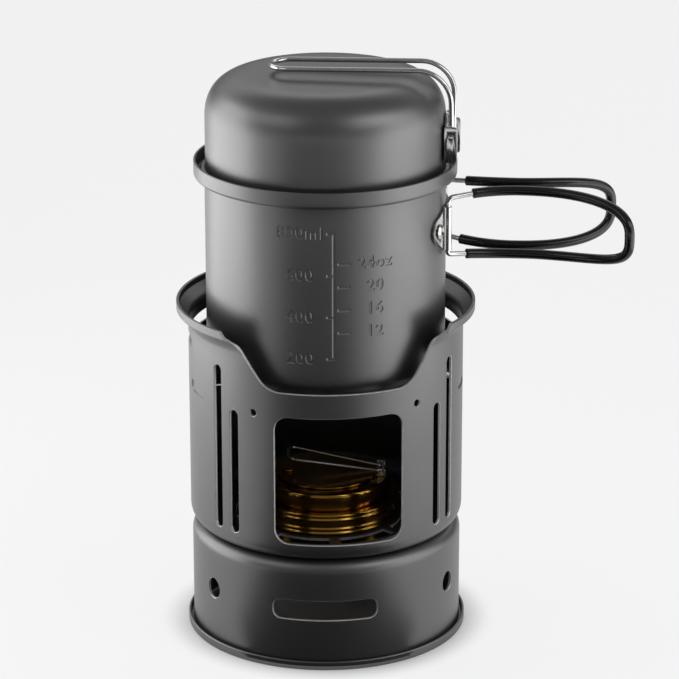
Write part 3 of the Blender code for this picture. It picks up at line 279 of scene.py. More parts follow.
def add_node(tree, kind, links=None, to=None, **settings):
    """Adds a node with its settings and links, and returns the first of its outputs that is in use."""
    made = tree.nodes.new("ShaderNode" + kind)
    for name, value in settings.items():
        if hasattr(made, name):
            setattr(made, name, value)
    inputs = {socket.name: socket for socket in made.inputs if socket.enabled}
    for name, value in settings.items():
        if not hasattr(made, name):
            value = linear(value) if isinstance(value, str) else value
            inputs[name.replace("_", " ")].default_value = value
    for name, source in (links or {}).items():
        tree.links.new(source, made.inputs[name] if isinstance(name, int) else inputs[name])
    output = next(socket for socket in made.outputs if socket.enabled)
    if to:
        tree.links.new(output, to)
    return output


def start_material(name, **values):
    """A new material, its nodes, its shader's sockets, and the coordinates of the object that it is on."""
    material = bpy.data.materials.new(name)
    material.use_nodes = True
    tree = material.node_tree
    sockets = tree.nodes["Principled BSDF"].inputs
    for socket, value in values.items():
        sockets[socket].default_value = value
    return material, tree, sockets, add_node(tree, "TexCoord").node.outputs["Object"]


def per_mm(size):
    """The scale of a pattern whose features are about this many millimetres across."""
    return 1.0 / (size * MM)


def hard_anodised_aluminium():
    """Spun, bead-blasted and hard-anodised sheet: a matt dark grey that still shines as metal."""
    material, tree, skin, where = start_material("hard_anodised_aluminium", Metallic=0.92)
    cloud = add_node(tree, "TexNoise", {"Vector": where}, Scale=per_mm(38), Detail=3.0)
    grey = add_node(tree, "Mix", {"Factor": cloud}, data_type="RGBA", A="6b6b6c", B="757574")
    edge = add_node(tree, "NewGeometry").node.outputs["Pointiness"]
    worn = add_node(tree, "MapRange", {"Value": edge}, From_Min=0.68, From_Max=0.76)
    patchy = add_node(tree, "TexNoise", {"Vector": where}, Scale=per_mm(4), Detail=2.0)
    rub = add_node(tree, "Math", {0: worn, 1: patchy}, operation="MULTIPLY")
    add_node(tree, "Mix", {"Factor": rub, "A": grey}, skin["Base Color"], data_type="RGBA", B="a6a6a5")
    # Blasted grain is near 0.1 mm and is drawn at 0.5 mm so that it shows
    grain = add_node(tree, "TexNoise", {"Vector": where}, Scale=per_mm(0.5), Detail=2.0)
    add_node(tree, "MapRange", {"Value": grain}, skin["Roughness"], To_Min=0.36, To_Max=0.46)
    add_node(tree, "Bump", {"Height": grain}, skin["Normal"], Strength=0.06, Distance=0.05 * MM)
    return material


def bare_edge_and_painted_highlight():
    """The sheared edge of the sheet, where the grey layer is thin and bare metal shows, kept light and
    only half metallic as a painted highlight along the cut edges.
    """
    material, tree, skin, where = start_material("bare_edge_and_painted_highlight", Metallic=0.6)
    rub = add_node(tree, "TexNoise", {"Vector": where}, Scale=per_mm(3), Detail=3.0)
    # Part bare metal, part painted highlight: a light, half-metallic colour that makes the cut edges read
    # as lit lines from any side
    add_node(tree, "Mix", {"Factor": rub}, skin["Base Color"], data_type="RGBA", A="b4b4b2", B="d2d2d0")
    add_node(tree, "MapRange", {"Value": rub}, skin["Roughness"], To_Min=0.40, To_Max=0.55)
    return material


def polished_stainless_steel():
    """Drawn wire and pressed sheet, tumbled bright: sharp reflections with faint drawing marks."""
    material, tree, skin, where = start_material("polished_stainless_steel", Metallic=1.0)
    haze = add_node(tree, "TexNoise", {"Vector": where}, Scale=per_mm(6), Detail=3.0)
    add_node(tree, "Mix", {"Factor": haze}, skin["Base Color"], data_type="RGBA", A="c4c4c2", B="d2d2d1")
    add_node(tree, "MapRange", {"Value": haze}, skin["Roughness"], To_Min=0.10, To_Max=0.22)
    # Drawing marks are near 0.05 mm and are drawn at 0.4 mm so that they show
    marks = add_node(tree, "TexNoise", {"Vector": where}, Scale=per_mm(0.4), Detail=1.0)
    add_node(tree, "Bump", {"Height": marks}, skin["Normal"], Strength=0.04, Distance=0.03 * MM)
    return material


def polished_brass():
    """Turned and polished brass with the brown tarnish that heat leaves in patches."""
    material, tree, skin, where = start_material("polished_brass", Metallic=1.0)
    stain = add_node(tree, "TexNoise", {"Vector": where}, Scale=per_mm(14), Detail=4.0)
    add_node(tree, "Mix", {"Factor": stain}, skin["Base Color"], data_type="RGBA", A="c79a48", B="a2752f")
    add_node(tree, "MapRange", {"Value": stain}, skin["Roughness"], To_Min=0.10, To_Max=0.24)
    # Turning rings run round the burner, so the pattern is stretched flat
    stretch = (per_mm(50), per_mm(50), per_mm(0.5))
    flat = add_node(tree, "Mapping", {"Vector": where}, Scale=stretch)
    rings = add_node(tree, "TexNoise", {"Vector": flat}, Scale=1.0)
    add_node(tree, "Bump", {"Height": rings}, skin["Normal"], Strength=0.06, Distance=0.03 * MM)
    return material


def black_vinyl():
    """Glossy black tube shrunk on the wire, with a slight ripple in its skin."""
    material, tree, skin, where = start_material("black_vinyl")
    scuff = add_node(tree, "TexNoise", {"Vector": where}, Scale=per_mm(9), Detail=3.0)
    add_node(tree, "Mix", {"Factor": scuff}, skin["Base Color"], data_type="RGBA", A="070708", B="0f0f10")
    add_node(tree, "MapRange", {"Value": scuff}, skin["Roughness"], To_Min=0.14, To_Max=0.28)
    ripple = add_node(tree, "TexNoise", {"Vector": where}, Scale=per_mm(1.5), Detail=1.0)
    add_node(tree, "Bump", {"Height": ripple}, skin["Normal"], Strength=0.08, Distance=0.08 * MM)
    return material


def cotton_wick():
    """Pressed cotton: off-white, fibrous and without shine."""
    material, tree, skin, where = start_material("cotton_wick", Roughness=0.95)
    fibre = add_node(tree, "TexNoise", {"Vector": where}, Scale=per_mm(0.6), Detail=4.0)
    add_node(tree, "Mix", {"Factor": fibre}, skin["Base Color"], data_type="RGBA", A="b9ae98", B="e2dac8")
    add_node(tree, "Bump", {"Height": fibre}, skin["Normal"], Strength=0.6, Distance=0.4 * MM)
    return material


def pale_table():
    """A matt white sheet, even to the eye and in reflections, that still takes a soft shadow."""
    material, tree, skin, where = start_material("pale_table", Roughness=0.7)
    cloud = add_node(tree, "TexNoise", {"Vector": where}, Scale=per_mm(300), Detail=2.0)
    add_node(tree, "Mix", {"Factor": cloud}, skin["Base Color"], data_type="RGBA", A="ebebea", B="f1f1f0")
    glow = add_node(tree, "Emission", Color="fbfbfc", Strength=1.0)
    ray = add_node(tree, "LightPath").node.outputs
    seen = add_node(tree, "Math", {0: ray["Is Camera Ray"], 1: ray["Is Glossy Ray"]}, operation="MAXIMUM")
    seen = add_node(tree, "Math", {0: seen, 1: ray["Is Transmission Ray"]}, operation="MAXIMUM")
    away = add_node(tree, "VectorMath", {0: where}, operation="LENGTH")
    near, far = TABLE_SHADE
    span = {"From_Min": near, "From_Max": far, "To_Max": TABLE_GLOW}
    clear = add_node(tree, "MapRange", {"Value": away}, interpolation_type="SMOOTHSTEP", **span)
    share = add_node(tree, "Math", {0: seen, 1: clear}, operation="MULTIPLY")
    matt = tree.nodes["Principled BSDF"].outputs["BSDF"]
    surface = tree.nodes["Material Output"].inputs["Surface"]
    add_node(tree, "MixShader", {0: share, 1: matt, 2: glow}, surface)
    return material


def dark_felt():
    """Black felt on the studio's flag, which the polished walls mirror as their dark middle."""
    material, tree, skin, where = start_material("dark_felt", Roughness=0.9)
    nap = add_node(tree, "TexNoise", {"Vector": where}, Scale=per_mm(20), Detail=2.0)
    add_node(tree, "Mix", {"Factor": nap}, skin["Base Color"], data_type="RGBA", A="141414", B="1c1c1c")
    return material


# Lines and outlines, all in millimetres

def polar(azimuth, radius, z=0.0):
    """A point at an azimuth counted from the front (-Y) towards the handles (+X)."""
    angle = math.radians(azimuth)
    return Vector((radius * math.sin(angle), -radius * math.cos(angle), z))


def fillet(before, corner, after, radius):
    """The points of an arc that rounds a corner."""
    towards = before - corner
    onwards = after - corner
    half = towards.angle(onwards) / 2
    reach = min(radius / math.tan(half), FILLET_REACH * min(towards.length, onwards.length))
    radius = reach * math.tan(half)
    towards.normalize()
    onwards.normalize()
    centre = corner + (towards + onwards).normalized() * (radius / math.sin(half))
    start = (corner + towards * reach - centre).normalized()
    end = (corner + onwards * reach - centre).normalized()
    count = max(2, math.ceil((180.0 - math.degrees(2 * half)) / ARC_STEP))
    return [centre + radius * start.slerp(end, step / count) for step in range(count + 1)]


def rounded(points, closed):
    """A line through (point, radius) pairs with each corner rounded to its radius."""
    line = []
    for index, (corner, radius) in enumerate(points):
        is_end = not closed and index in (0, len(points) - 1)
        if is_end or radius <= 0:
            line.append(corner)
        else:
            line.extend(fillet(points[index - 1][0], corner, points[(index + 1) % len(points)][0], radius))
    return line


def spaced(line):
    """The same line with long straight runs divided."""
    divided = [line[0]]
    for before, after in zip(line, line[1:]):
        count = max(1, math.ceil((after - before).length / RING_SPACING))
        divided += [before.lerp(after, step / count) for step in range(1, count + 1)]
    return divided


def outline(corners, closed=True):
    """A turned outline from (radius, height, corner radius) corners."""
    line = rounded([(Vector((r, 0.0, z)), bend) for r, z, bend in corners], closed)
    return spaced(line + [line[0]] if closed else line)


def quarter_turn(steps):
    """The angles of a quarter turn in even steps."""
    return [math.radians(90 * step / steps) for step in range(steps + 1)]


def opening_columns(azimuth, half, low, high, corner, radius):
    """Columns of azimuth, lower and upper height across an opening with rounded corners."""
    corner = min(corner, ROUND_END * (high - low), ROUND_END * 2 * radius * math.radians(half))
    corner_angle = math.degrees(corner / radius)
    ends = []
    for turn in quarter_turn(CORNER_STEPS):
        ends.append((corner_angle * (1 - math.cos(turn)), corner * (1 - math.sin(turn))))
    left = [(azimuth - half + inset, low + rise, high - rise) for inset, rise in ends]
    right = [(azimuth + half - inset, low + rise, high - rise) for inset, rise in reversed(ends)]
    span = 2 * (half - corner_angle)
    count = math.ceil(span / COLUMN_STEP)
    start = azimuth - half + corner_angle
    return left + [(start + span * step / count, low, high) for step in range(1, count)] + right


# Modelling moves

def add_object(name, data):
    """Puts a mesh, a lamp or a camera into the scene."""
    made = bpy.data.objects.new(name, data)
    bpy.context.scene.collection.objects.link(made)
    return made


def begin(name, first):
    """Adds a plane and draws it together to one vertex, from which a line can be extruded."""
    bpy.ops.object.select_all(action="DESELECT")
    bpy.ops.mesh.primitive_plane_add(size=MM)
    piece = bpy.context.object
    piece.name = piece.data.name = name
    bpy.ops.object.mode_set(mode="EDIT")
    bpy.ops.mesh.select_mode(type="VERT")
    bpy.ops.mesh.merge(type="CENTER")
    bpy.ops.transform.translate(value=first * MM)
    return piece


def begin_again(first):
    """Starts another line in the mesh that is being edited."""
    bpy.ops.mesh.select_all(action="DESELECT")
    bpy.ops.mesh.primitive_plane_add(size=MM)
    bpy.ops.mesh.merge(type="CENTER")
    bpy.ops.transform.translate(value=first * MM)


def draw_on(line):
    """Extrudes the selected vertex along a line."""
    for before, after in zip(line, line[1:]):
        bpy.ops.mesh.extrude_region_move(TRANSFORM_OT_translate={"value": (after - before) * MM})


def close_up():
    """Merges doubles, turns the faces outwards and leaves the mesh."""
    bpy.ops.mesh.select_all(action="SELECT")
    bpy.ops.mesh.remove_doubles(threshold=MERGE * MM)
    bpy.ops.mesh.normals_make_consistent(inside=False)
    bpy.ops.object.mode_set(mode="OBJECT")


def select_only(piece):
    bpy.ops.object.select_all(action="DESELECT")
    piece.select_set(True)
    bpy.context.view_layer.objects.active = piece


def smooth(piece):
    select_only(piece)
    bpy.ops.object.shade_smooth_by_angle(angle=math.radians(SMOOTH_ANGLE))
    return piece


def apply_modifier(piece, kind, **settings):
    select_only(piece)
    step = piece.modifiers.new(kind.lower(), kind)
    for name, value in settings.items():
        setattr(step, name, value)
    bpy.ops.object.modifier_apply(modifier=step.name)


def bevel(piece, width, segments, angle=SHARP_ANGLE):
    """Breaks a piece's sharp edges by a width in millimetres."""
    limit = math.radians(angle)
    apply_modifier(piece, "BEVEL", width=width * MM, segments=segments, angle_limit=limit)


def paint(piece, material):
    piece.data.materials.clear()
    piece.data.materials.append(material)
    return piece


def place(piece, matrix):
    """Moves a piece and puts the move into its mesh."""
    select_only(piece)
    piece.matrix_world = matrix
    bpy.ops.object.transform_apply(location=True, rotation=True, scale=True)
    return piece


def turned_about_axis(degrees):
    return Matrix.Rotation(math.radians(degrees), 4, "Z")


def facing(direction, axis="Z"):
    """A turn that points an axis, +Z if none is named, in a direction."""
    return direction.to_track_quat(axis, "Y").to_matrix().to_4x4()


def turn_piece(name, line, material, steps=SHELL_STEPS):
    """Spins an outline about the upright axis."""
    piece = begin(name, line[0])
    draw_on(line)
    bpy.ops.mesh.select_all(action="SELECT")
    bpy.ops.mesh.spin(steps=steps, angle=2 * math.pi, center=(0, 0, 0), axis=(0, 0, 1))
    close_up()
    paint(piece, material)
    return smooth(piece)


def begin_band(name, columns, radius):
    """Draws a surface bent round the axis, from columns of azimuth, lower and upper height."""
    lower = [polar(azimuth, radius, low) for azimuth, low, high in columns]
    upper = [polar(azimuth, radius, high) for azimuth, low, high in columns]
    piece = begin(name, lower[0])
    draw_on(lower)
    begin_again(upper[0])
    draw_on(upper)
    bpy.ops.mesh.select_all(action="SELECT")
    bpy.ops.mesh.bridge_edge_loops()
    bpy.ops.mesh.select_all(action="SELECT")
    return piece


def grow_from_axis(share):
    """Extrudes the selected surface away from the upright axis, or towards it."""
    bpy.ops.mesh.extrude_region()
    bpy.ops.transform.resize(value=(share, share, 1.0), center_override=(0, 0, 0))


def wrapped_plate(name, columns, inner, outer, material):
    """A plate bent round the axis, from columns of azimuth, lower and upper height."""
    piece = begin_band(name, columns, outer)
    grow_from_axis(inner / outer)
    close_up()
    return paint(piece, material)


def round_bar(name, start, end, radius, material, sides=BAR_SIDES):
    """A straight bar that drills a hole or stands as a pin."""
    along = (end - start) * MM
    bpy.ops.object.select_all(action="DESELECT")
    bpy.ops.mesh.primitive_cylinder_add(vertices=sides, radius=radius * MM, depth=along.length)
    bar = bpy.context.object
    bar.name = name
    place(bar, Matrix.Translation((start + end) * MM / 2) @ facing(along))
    return paint(bar, material)


def joined(pieces):
    """Joins pieces into the first of them."""
    select_only(pieces[0])
    for piece in pieces[1:]:
        piece.select_set(True)
    bpy.ops.object.join()
    return pieces[0]


def combine(piece, others, operation, crossing=False):
    """Cuts or adds other bodies, which may cross each other and whose faces keep their own material."""
    tool = joined(others)
    apply_modifier(
        piece,
        "BOOLEAN",
        operation=operation,
        object=tool,
        solver="EXACT",
        material_mode="TRANSFER",
        use_self=crossing,
    )
    bpy.data.objects.remove(tool, do_unlink=True)
    return smooth(piece)


def flared_cutter(columns, azimuth, radii, material, open_top=False):
    """A cutter through a wall, from columns about the front, that flares to break the cut's edge."""
    inner, start, end, outer = radii
    cutter = begin_band("flared_cutter", columns, inner)
    across = max(abs(polar(angle, start).x) for angle, low, high in columns)
    bottom = min(low for angle, low, high in columns)
    top = max(high for angle, low, high in columns)
    middle = top if open_top else (bottom + top) / 2
    flare = (1 + (end - start) / across, 1.0, 1 + (end - start) / (middle - bottom))
    if start > inner:
        grow_from_axis(start / inner)
    grow_from_axis(end / start)
    bpy.ops.transform.resize(value=flare, center_override=(0, 0, middle * MM))
    grow_from_axis(outer / end)
    close_up()
    place(cutter, turned_about_axis(azimuth))
    return paint(cutter, material)


def flared_drill(azimuth, z, radius, wall, material):
    """A drill through a wall, which widens at the wall's outside and breaks the hole's edge."""
    mouth = radius + 2 * EDGE_BREAK
    line = outline([
        (0.0, CUT_INNER, 0.0),
        (radius, CUT_INNER, 0.0),
        (radius, wall - EDGE_BREAK, 0.0),
        (mouth, wall + EDGE_BREAK, 0.0),
        (mouth, CUT_OUTER, 0.0),
        (0.0, CUT_OUTER, 0.0),
    ], closed=False)
    drill = turn_piece("flared_drill", line, material, SMALL_STEPS)
    return place(drill, Matrix.Translation((0, 0, z * MM)) @ facing(polar(azimuth, 1.0)))


def keep_wall_round(piece):
    """Gives wall faces the normals of a true cylinder, so that cuts leave no marks in their shine."""
    mesh = piece.data
    normals = [corner.vector.copy() for corner in mesh.corner_normals]
    walls = []
    shoulders = set()
    for face in mesh.polygons:
        squarely = face.normal.dot(Vector((face.center.x, face.center.y, 0)).normalized())
        rises = abs(face.normal.z) > SHOULDER_RISE and face.area > SLIVER * MM * MM
        if abs(squarely) > WALL_FACING:
            walls.append((face, 1.0 if squarely > 0 else -1.0))
        elif rises and abs(squarely) > SHOULDER_FACING:
            shoulders.update(face.vertices)
    for face, side in walls:
        for loop in face.loop_indices:
            index = mesh.loops[loop].vertex_index
            if index not in shoulders:
                point = mesh.vertices[index].co
                normals[loop] = Vector((point.x, point.y, 0)).normalized() * side
    mesh.normals_split_custom_set(normals)


def wire_piece(name, path, radius, material, capped=True):
    """A round wire along a path, with its ends closed and rounded off, or left open as a tube."""
    piece = begin(name, path[0])
    draw_on(path)
    bpy.ops.object.mode_set(mode="OBJECT")
    bpy.ops.object.convert(target="CURVE")
    piece = bpy.context.object
    piece.data.bevel_depth = radius * MM
    piece.data.bevel_resolution = WIRE_FINENESS
    piece.data.use_fill_caps = capped
    bpy.ops.object.convert(target="MESH")
    piece = bpy.context.object
    piece.name = piece.data.name = name
    bpy.ops.object.mode_set(mode="EDIT")
    close_up()
    paint(piece, material)
    if capped:
        bevel(piece, WIRE_END_SHARE * radius, 2)
    return smooth(piece)


def sleeve_piece(name, path, radius, bore, material):
    """A soft tube along a path, with a bore for the wire and softened ends."""
    piece = wire_piece(name, path, radius, material, capped=False)
    apply_modifier(piece, "SOLIDIFY", thickness=(radius - bore) * MM, offset=-1.0)
    bevel(piece, SLEEVE_EDGE, 3)
    return smooth(piece)


def bevelled_copy(name, node, material, width):
    """A copy of a pressed-sheet solid with its facets merged and its edges broken."""
    piece = add_object(name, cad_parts[node].data.copy())
    select_only(piece)
    bpy.ops.object.mode_set(mode="EDIT")
    bpy.ops.mesh.select_all(action="SELECT")
    bpy.ops.mesh.remove_doubles(threshold=2 * MERGE * MM)
    bpy.ops.mesh.dissolve_limited(angle_limit=math.radians(FLAT_ANGLE))
    bpy.ops.object.mode_set(mode="OBJECT")
    paint(piece, material)
    bevel(piece, width, 2, SHEET_SHARP_ANGLE)
    return smooth(piece)


def dress(piece, body, slot, *nodes):
    """Lets a piece ride on a body in place of its solids; the slot is not used."""
    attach(piece, body)
    if nodes:
        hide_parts(*nodes)


# The pieces

def make_base_stand(anodised, bare):
    wall = BASE_RADIUS - BASE_WALL
    groove = FOOT_RADIUS - FOOT_CURL
    line = outline([
        (wall, 0.0, 0.3),
        (FOOT_RADIUS, 0.0, 0.6),
        (FOOT_RADIUS, FOOT_HEIGHT, 0.6),
        (groove, FOOT_HEIGHT, 0.5),
        (groove, BASE_WALL, 0.4),
        (BASE_RADIUS, BASE_WALL, 0.4),
        (BASE_RADIUS, BASE_HEIGHT, BASE_SHOULDER),
        (BASE_MOUTH, BASE_HEIGHT, 0.3),
        (BASE_MOUTH, BASE_HEIGHT - BASE_WALL, 0.3),
        (wall, BASE_HEIGHT - BASE_WALL, BASE_SHOULDER - BASE_WALL),
    ])
    stand = turn_piece("base_stand_shell", line, anodised)
    low = BASE_SLOT["middle"] - BASE_SLOT["height"] / 2
    columns = opening_columns(
        0.0, BASE_SLOT["half"], low, low + BASE_SLOT["height"], BASE_SLOT["corner"], BASE_RADIUS
    )
    radii = (CUT_INNER, BASE_RADIUS - EDGE_BREAK, BASE_RADIUS + EDGE_BREAK, CUT_OUTER)
    cutters = [flared_cutter(columns, BASE_SLOT["azimuth"], radii, bare)]
    for azimuth in BASE_AIR_HOLES:
        drill = flared_drill(azimuth, BASE_SLOT["middle"], BASE_AIR_HOLE_RADIUS, BASE_RADIUS, bare)
        cutters.append(drill)
    combine(stand, cutters, "DIFFERENCE")
    keep_wall_round(stand)
    dress(stand, "base", "anodised", "base_stand")


def windscreen_outline():
    inside = SCREEN_RADIUS - SCREEN_WALL
    lip = SCREEN_RIM - SCREEN_RIM_SHEET
    band_low = SCREEN_TOP - SCREEN_BAND
    neck = band_low - SCREEN_NECK
    bead_inner, bead_middle, bead_outer, bead_z = LOCATING_BEAD
    return outline([
        (BURNER_HOLE, SCREEN_LOW, 0.2),
        (bead_inner, SCREEN_LOW, 0.6),
        (bead_middle, bead_z, 0.8),
        (bead_outer, SCREEN_LOW, 0.6),
        (SCREEN_RADIUS, SCREEN_LOW, SCREEN_CORNER),
        (SCREEN_RADIUS, neck, SCREEN_NECK),
        (lip, band_low, 0.6),
        (SCREEN_RIM, band_low, 0.7),
        (SCREEN_RIM, SCREEN_TOP, 0.5),
        (lip, SCREEN_TOP, 0.5),
        (lip, band_low + SCREEN_RIM_SHEET, 0.6),
        (inside, neck + SCREEN_WALL, SCREEN_NECK),
        (inside, SCREEN_FLOOR, SCREEN_CORNER - SCREEN_WALL),
        (bead_outer, SCREEN_FLOOR, 0.5),
        (bead_middle, bead_z + SCREEN_WALL, 0.6),
        (bead_inner, SCREEN_FLOOR, 0.5),
        (BURNER_HOLE, SCREEN_FLOOR, 0.2),
    ])


def cutout_columns():
    """The rim's cut-out: a level floor, filleted corners and sides that lean outwards."""
    scale = math.radians(1.0) * SCREEN_RADIUS
    floor = SCREEN_TOP - CUTOUT_DEPTH
    top = SCREEN_TOP + SCREEN_BAND
    slant = (CUTOUT_TOP_HALF - CUTOUT_FLOOR_HALF) / CUTOUT_DEPTH
    half_top = CUTOUT_TOP_HALF + slant * SCREEN_BAND
    corners = [
        (Vector((-half_top * scale, 0, top)), 0),
        (Vector((-CUTOUT_FLOOR_HALF * scale, 0, floor)), CUTOUT_FILLET),
        (Vector((CUTOUT_FLOOR_HALF * scale, 0, floor)), CUTOUT_FILLET),
        (Vector((half_top * scale, 0, top)), 0),
    ]
    line = spaced(rounded(corners, closed=False))
    return [(point.x / scale, point.z, top + CUTOUT_DEPTH) for point in line]


def screen_cutter(azimuth, half, low, high, corner, radii, material):
    """A cutter for the windscreen's wall, with heights counted from the screen's foot."""
    columns = opening_columns(0.0, half, SCREEN_LOW + low, SCREEN_LOW + high, corner, SCREEN_RADIUS)
    return flared_cutter(columns, SCREEN_TURN + azimuth, radii, material)


def windscreen_openings(bare):
    """Cutters for the window, the rim's cut-out, the slots, the vents and the wire holes."""
    radii = (CUT_INNER, SCREEN_RADIUS - EDGE_BREAK, SCREEN_RADIUS + EDGE_BREAK, CUT_OUTER)
    slot_half = math.degrees(SLOT_HALF_WIDTH / SCREEN_RADIUS)
    vent_height = VENT["high"] - VENT["low"]
    cutters = [
        screen_cutter(0.0, WINDOW["half"], WINDOW["low"], WINDOW["high"], WINDOW["corner"], radii, bare),
        flared_cutter(cutout_columns(), SCREEN_TURN, radii, bare, open_top=True),
    ]
    openings = []
    for side in (-1, 1):
        openings += [(side * azimuth, slot_half, SLOT_LOW, top, SLOT_HALF_WIDTH) for azimuth, top in SLOTS]
        openings.append((side * VENT["middle"], VENT["half"], VENT["low"], VENT["high"], vent_height))
    cutters += [screen_cutter(*opening, radii, bare) for opening in openings]
    for azimuth, height in WIRE_HOLES:
        turn = SCREEN_TURN + azimuth
        cutters.append(flared_drill(turn, SCREEN_LOW + height, WIRE_HOLE_RADIUS, SCREEN_RADIUS, bare))
    return cutters


def air_slots(bare):
    """Cutters for the ring of air slots in the windscreen's floor."""
    cutters = []
    inner = AIR_SLOTS["inner"]
    outer = AIR_SLOTS["outer"]
    pitch = 360 / AIR_SLOTS["count"]
    half_bar = math.degrees(AIR_SLOTS["bar"] / (inner + outer))
    span = pitch - 2 * half_bar
    parts = math.ceil(span / COLUMN_STEP)
    for slot in range(AIR_SLOTS["count"]):
        start = SCREEN_TURN + slot * pitch + half_bar
        columns = [
            (start + span * part / parts, SCREEN_LOW - SCREEN_WALL, SCREEN_FLOOR + SCREEN_WALL)
            for part in range(parts + 1)
        ]
        cutters.append(wrapped_plate("air_slot_cutter", columns, inner, outer, bare))
    return cutters


def make_windscreen(anodised, bare, stainless):
    screen = turn_piece("windscreen_wall", windscreen_outline(), anodised)
    combine(screen, windscreen_openings(bare) + air_slots(bare), "DIFFERENCE")
    mark = PRESSED_MARK
    depth = mark["depth"]
    radii = (SCREEN_RADIUS - depth, SCREEN_RADIUS - depth, SCREEN_RADIUS + depth, CUT_OUTER)
    height = mark["high"] - mark["low"]
    marks = [
        screen_cutter(azimuth, mark["half"], mark["low"], mark["high"], height, radii, anodised)
        for azimuth in SUPPORT_AZIMUTHS.values()
    ]
    combine(screen, marks, "DIFFERENCE")
    keep_wall_round(screen)
    dress(screen, "windscreen", "anodised", "windscreen_shell")
    for side in SUPPORT_AZIMUTHS:
        support = bevelled_copy(f"support_strip_{side}", f"pot_support_{side}", stainless, SHEET_EDGE)
        dress(support, "windscreen", "stainless", f"pot_support_{side}")


def make_burner(brass):
    corners = [
        (0.0, BURNER_LOW, 0.0),
        (BURNER_RADIUS, BURNER_LOW, 2.5),
        (BURNER_RADIUS, BURNER_SEAT, 0.2),
    ]
    for height in RIDGE_HEIGHTS:
        z = BURNER_SEAT + height
        corners += [
            (BURNER_COLLAR, z - RIDGE_HALF, 0.4),
            (BURNER_COLLAR + RIDGE, z, 0.6),
            (BURNER_COLLAR, z + RIDGE_HALF, 0.4),
        ]
    corners += [
        (BURNER_BORE, BURNER_TOP, 0.3),
        (BURNER_BORE, BURNER_FLOOR, 1.5),
        (0.0, BURNER_FLOOR, 0.0),
    ]
    cup = turn_piece("burner_cup_wall", outline(corners, closed=False), brass)
    dress(cup, "burner", "brass", "burner_body")

    line = outline([
        (CUP_RADIUS, CUP_LOW, 0.3),
        (CUP_RADIUS + CUP_WALL, CUP_LOW, 0.3),
        (CUP_RADIUS + CUP_WALL, JET_THROAT_Z - CUP_WALL, 0.7),
        (JET_LAND, JET_LAND_Z - CUP_WALL, 0.3),
        (JET_EDGE, JET_LAND_Z - CUP_WALL, 0.2),
        (JET_EDGE, JET_LAND_Z, 0.2),
        (JET_LAND, JET_LAND_Z, 0.3),
        (CUP_RADIUS, JET_THROAT_Z, 0.7),
    ])
    ring = turn_piece("burner_jet_crown", line, brass, CROWN_STEPS)
    jets = []
    for jet in range(JET_COUNT):
        azimuth = 360 * (jet + 0.5) / JET_COUNT
        start = polar(azimuth, JET_CIRCLE, JET_THROAT_Z - JET_DRILL)
        end = polar(azimuth, JET_CIRCLE, BURNER_TOP)
        jets.append(round_bar("jet_cutter", start, end, JET_RADIUS, brass, JET_SIDES))
    combine(ring, jets, "DIFFERENCE")
    dress(ring, "burner", "brass", "burner_jet_ring")


def make_regulator(brass, stainless):
    skirt = REGULATOR_RADIUS - REGULATOR_WALL
    plate = REGULATOR_TOP - REGULATOR_WALL
    line = outline([
        (skirt, BURNER_TOP, 0.2),
        (REGULATOR_RADIUS, BURNER_TOP, 0.2),
        (REGULATOR_RADIUS, REGULATOR_TOP, 1.6),
        (REGULATOR_PORT, REGULATOR_TOP, 0.2),
        (REGULATOR_PORT, plate, 0.2),
        (skirt, plate, 0.8),
    ])
    dress(turn_piece("regulator_cap", line, brass), "regulator", "brass", "regulator_ring")

    line = outline([
        (0.0, SHUTTER_LOW, 0.0),
        (SHUTTER_RADIUS, SHUTTER_LOW, 0.25),
        (SHUTTER_RADIUS, SHUTTER_HIGH, 0.25),
        (0.0, SHUTTER_HIGH, 0.0),
    ], closed=False)
    dress(turn_piece("shutter_disc", line, brass), "shutter", "brass", "regulator_shutter")

    head = SHUTTER_HIGH + PIVOT["play"]
    tail = plate - PIVOT["play"]
    thick = PIVOT["thickness"]
    line = outline([
        (0.0, tail - thick, 0.0),
        (PIVOT["head"], tail - thick, 0.2),
        (PIVOT["head"], tail, 0.2),
        (PIVOT["radius"], tail, 0.1),
        (PIVOT["radius"], head, 0.1),
        (PIVOT["head"], head, 0.2),
        (PIVOT["head"], head + thick, 0.5),
        (0.0, head + thick, 0.0),
    ], closed=False)
    pin = turn_piece("shutter_pivot_pin", line, brass, SMALL_STEPS)
    place(pin, turned_about_axis(REGULATOR_TURN) @ Matrix.Translation((-PIVOT["offset"] * MM, 0, 0)))
    dress(pin, "regulator", "brass", "regulator_pivot")

    hinge = bevelled_copy("regulator_wire_bracket", "regulator_hinge", stainless, HINGE_EDGE)
    dress(hinge, "regulator", "stainless", "regulator_hinge")


def make_regulator_wire(stainless):
    rise = math.radians(REGULATOR_WIRE["rise"])
    end = Vector((-math.cos(rise), 0, math.sin(rise))) * REGULATOR_WIRE["length"]
    foot = Vector((0, REGULATOR_WIRE["foot"], 0))
    side = Vector((0, REGULATOR_WIRE["half"], 0))
    pin_end = Vector((0, REGULATOR_WIRE["pin"], 0))
    foot_bend, end_bend = REGULATOR_WIRE_BENDS
    route = rounded([
        (-pin_end, 0),
        (-foot, foot_bend),
        (end - side, end_bend),
        (end + side, end_bend),
        (foot, foot_bend),
        (pin_end, 0),
    ], closed=False)
    path = [point + Vector(REGULATOR_HINGE) for point in spaced(route)]
    wire = wire_piece("regulator_wire_loop", path, REGULATOR_WIRE["radius"], stainless)
    place(wire, turned_about_axis(REGULATOR_TURN))
    dress(wire, "regulator_wire", "stainless", "regulator_handle")


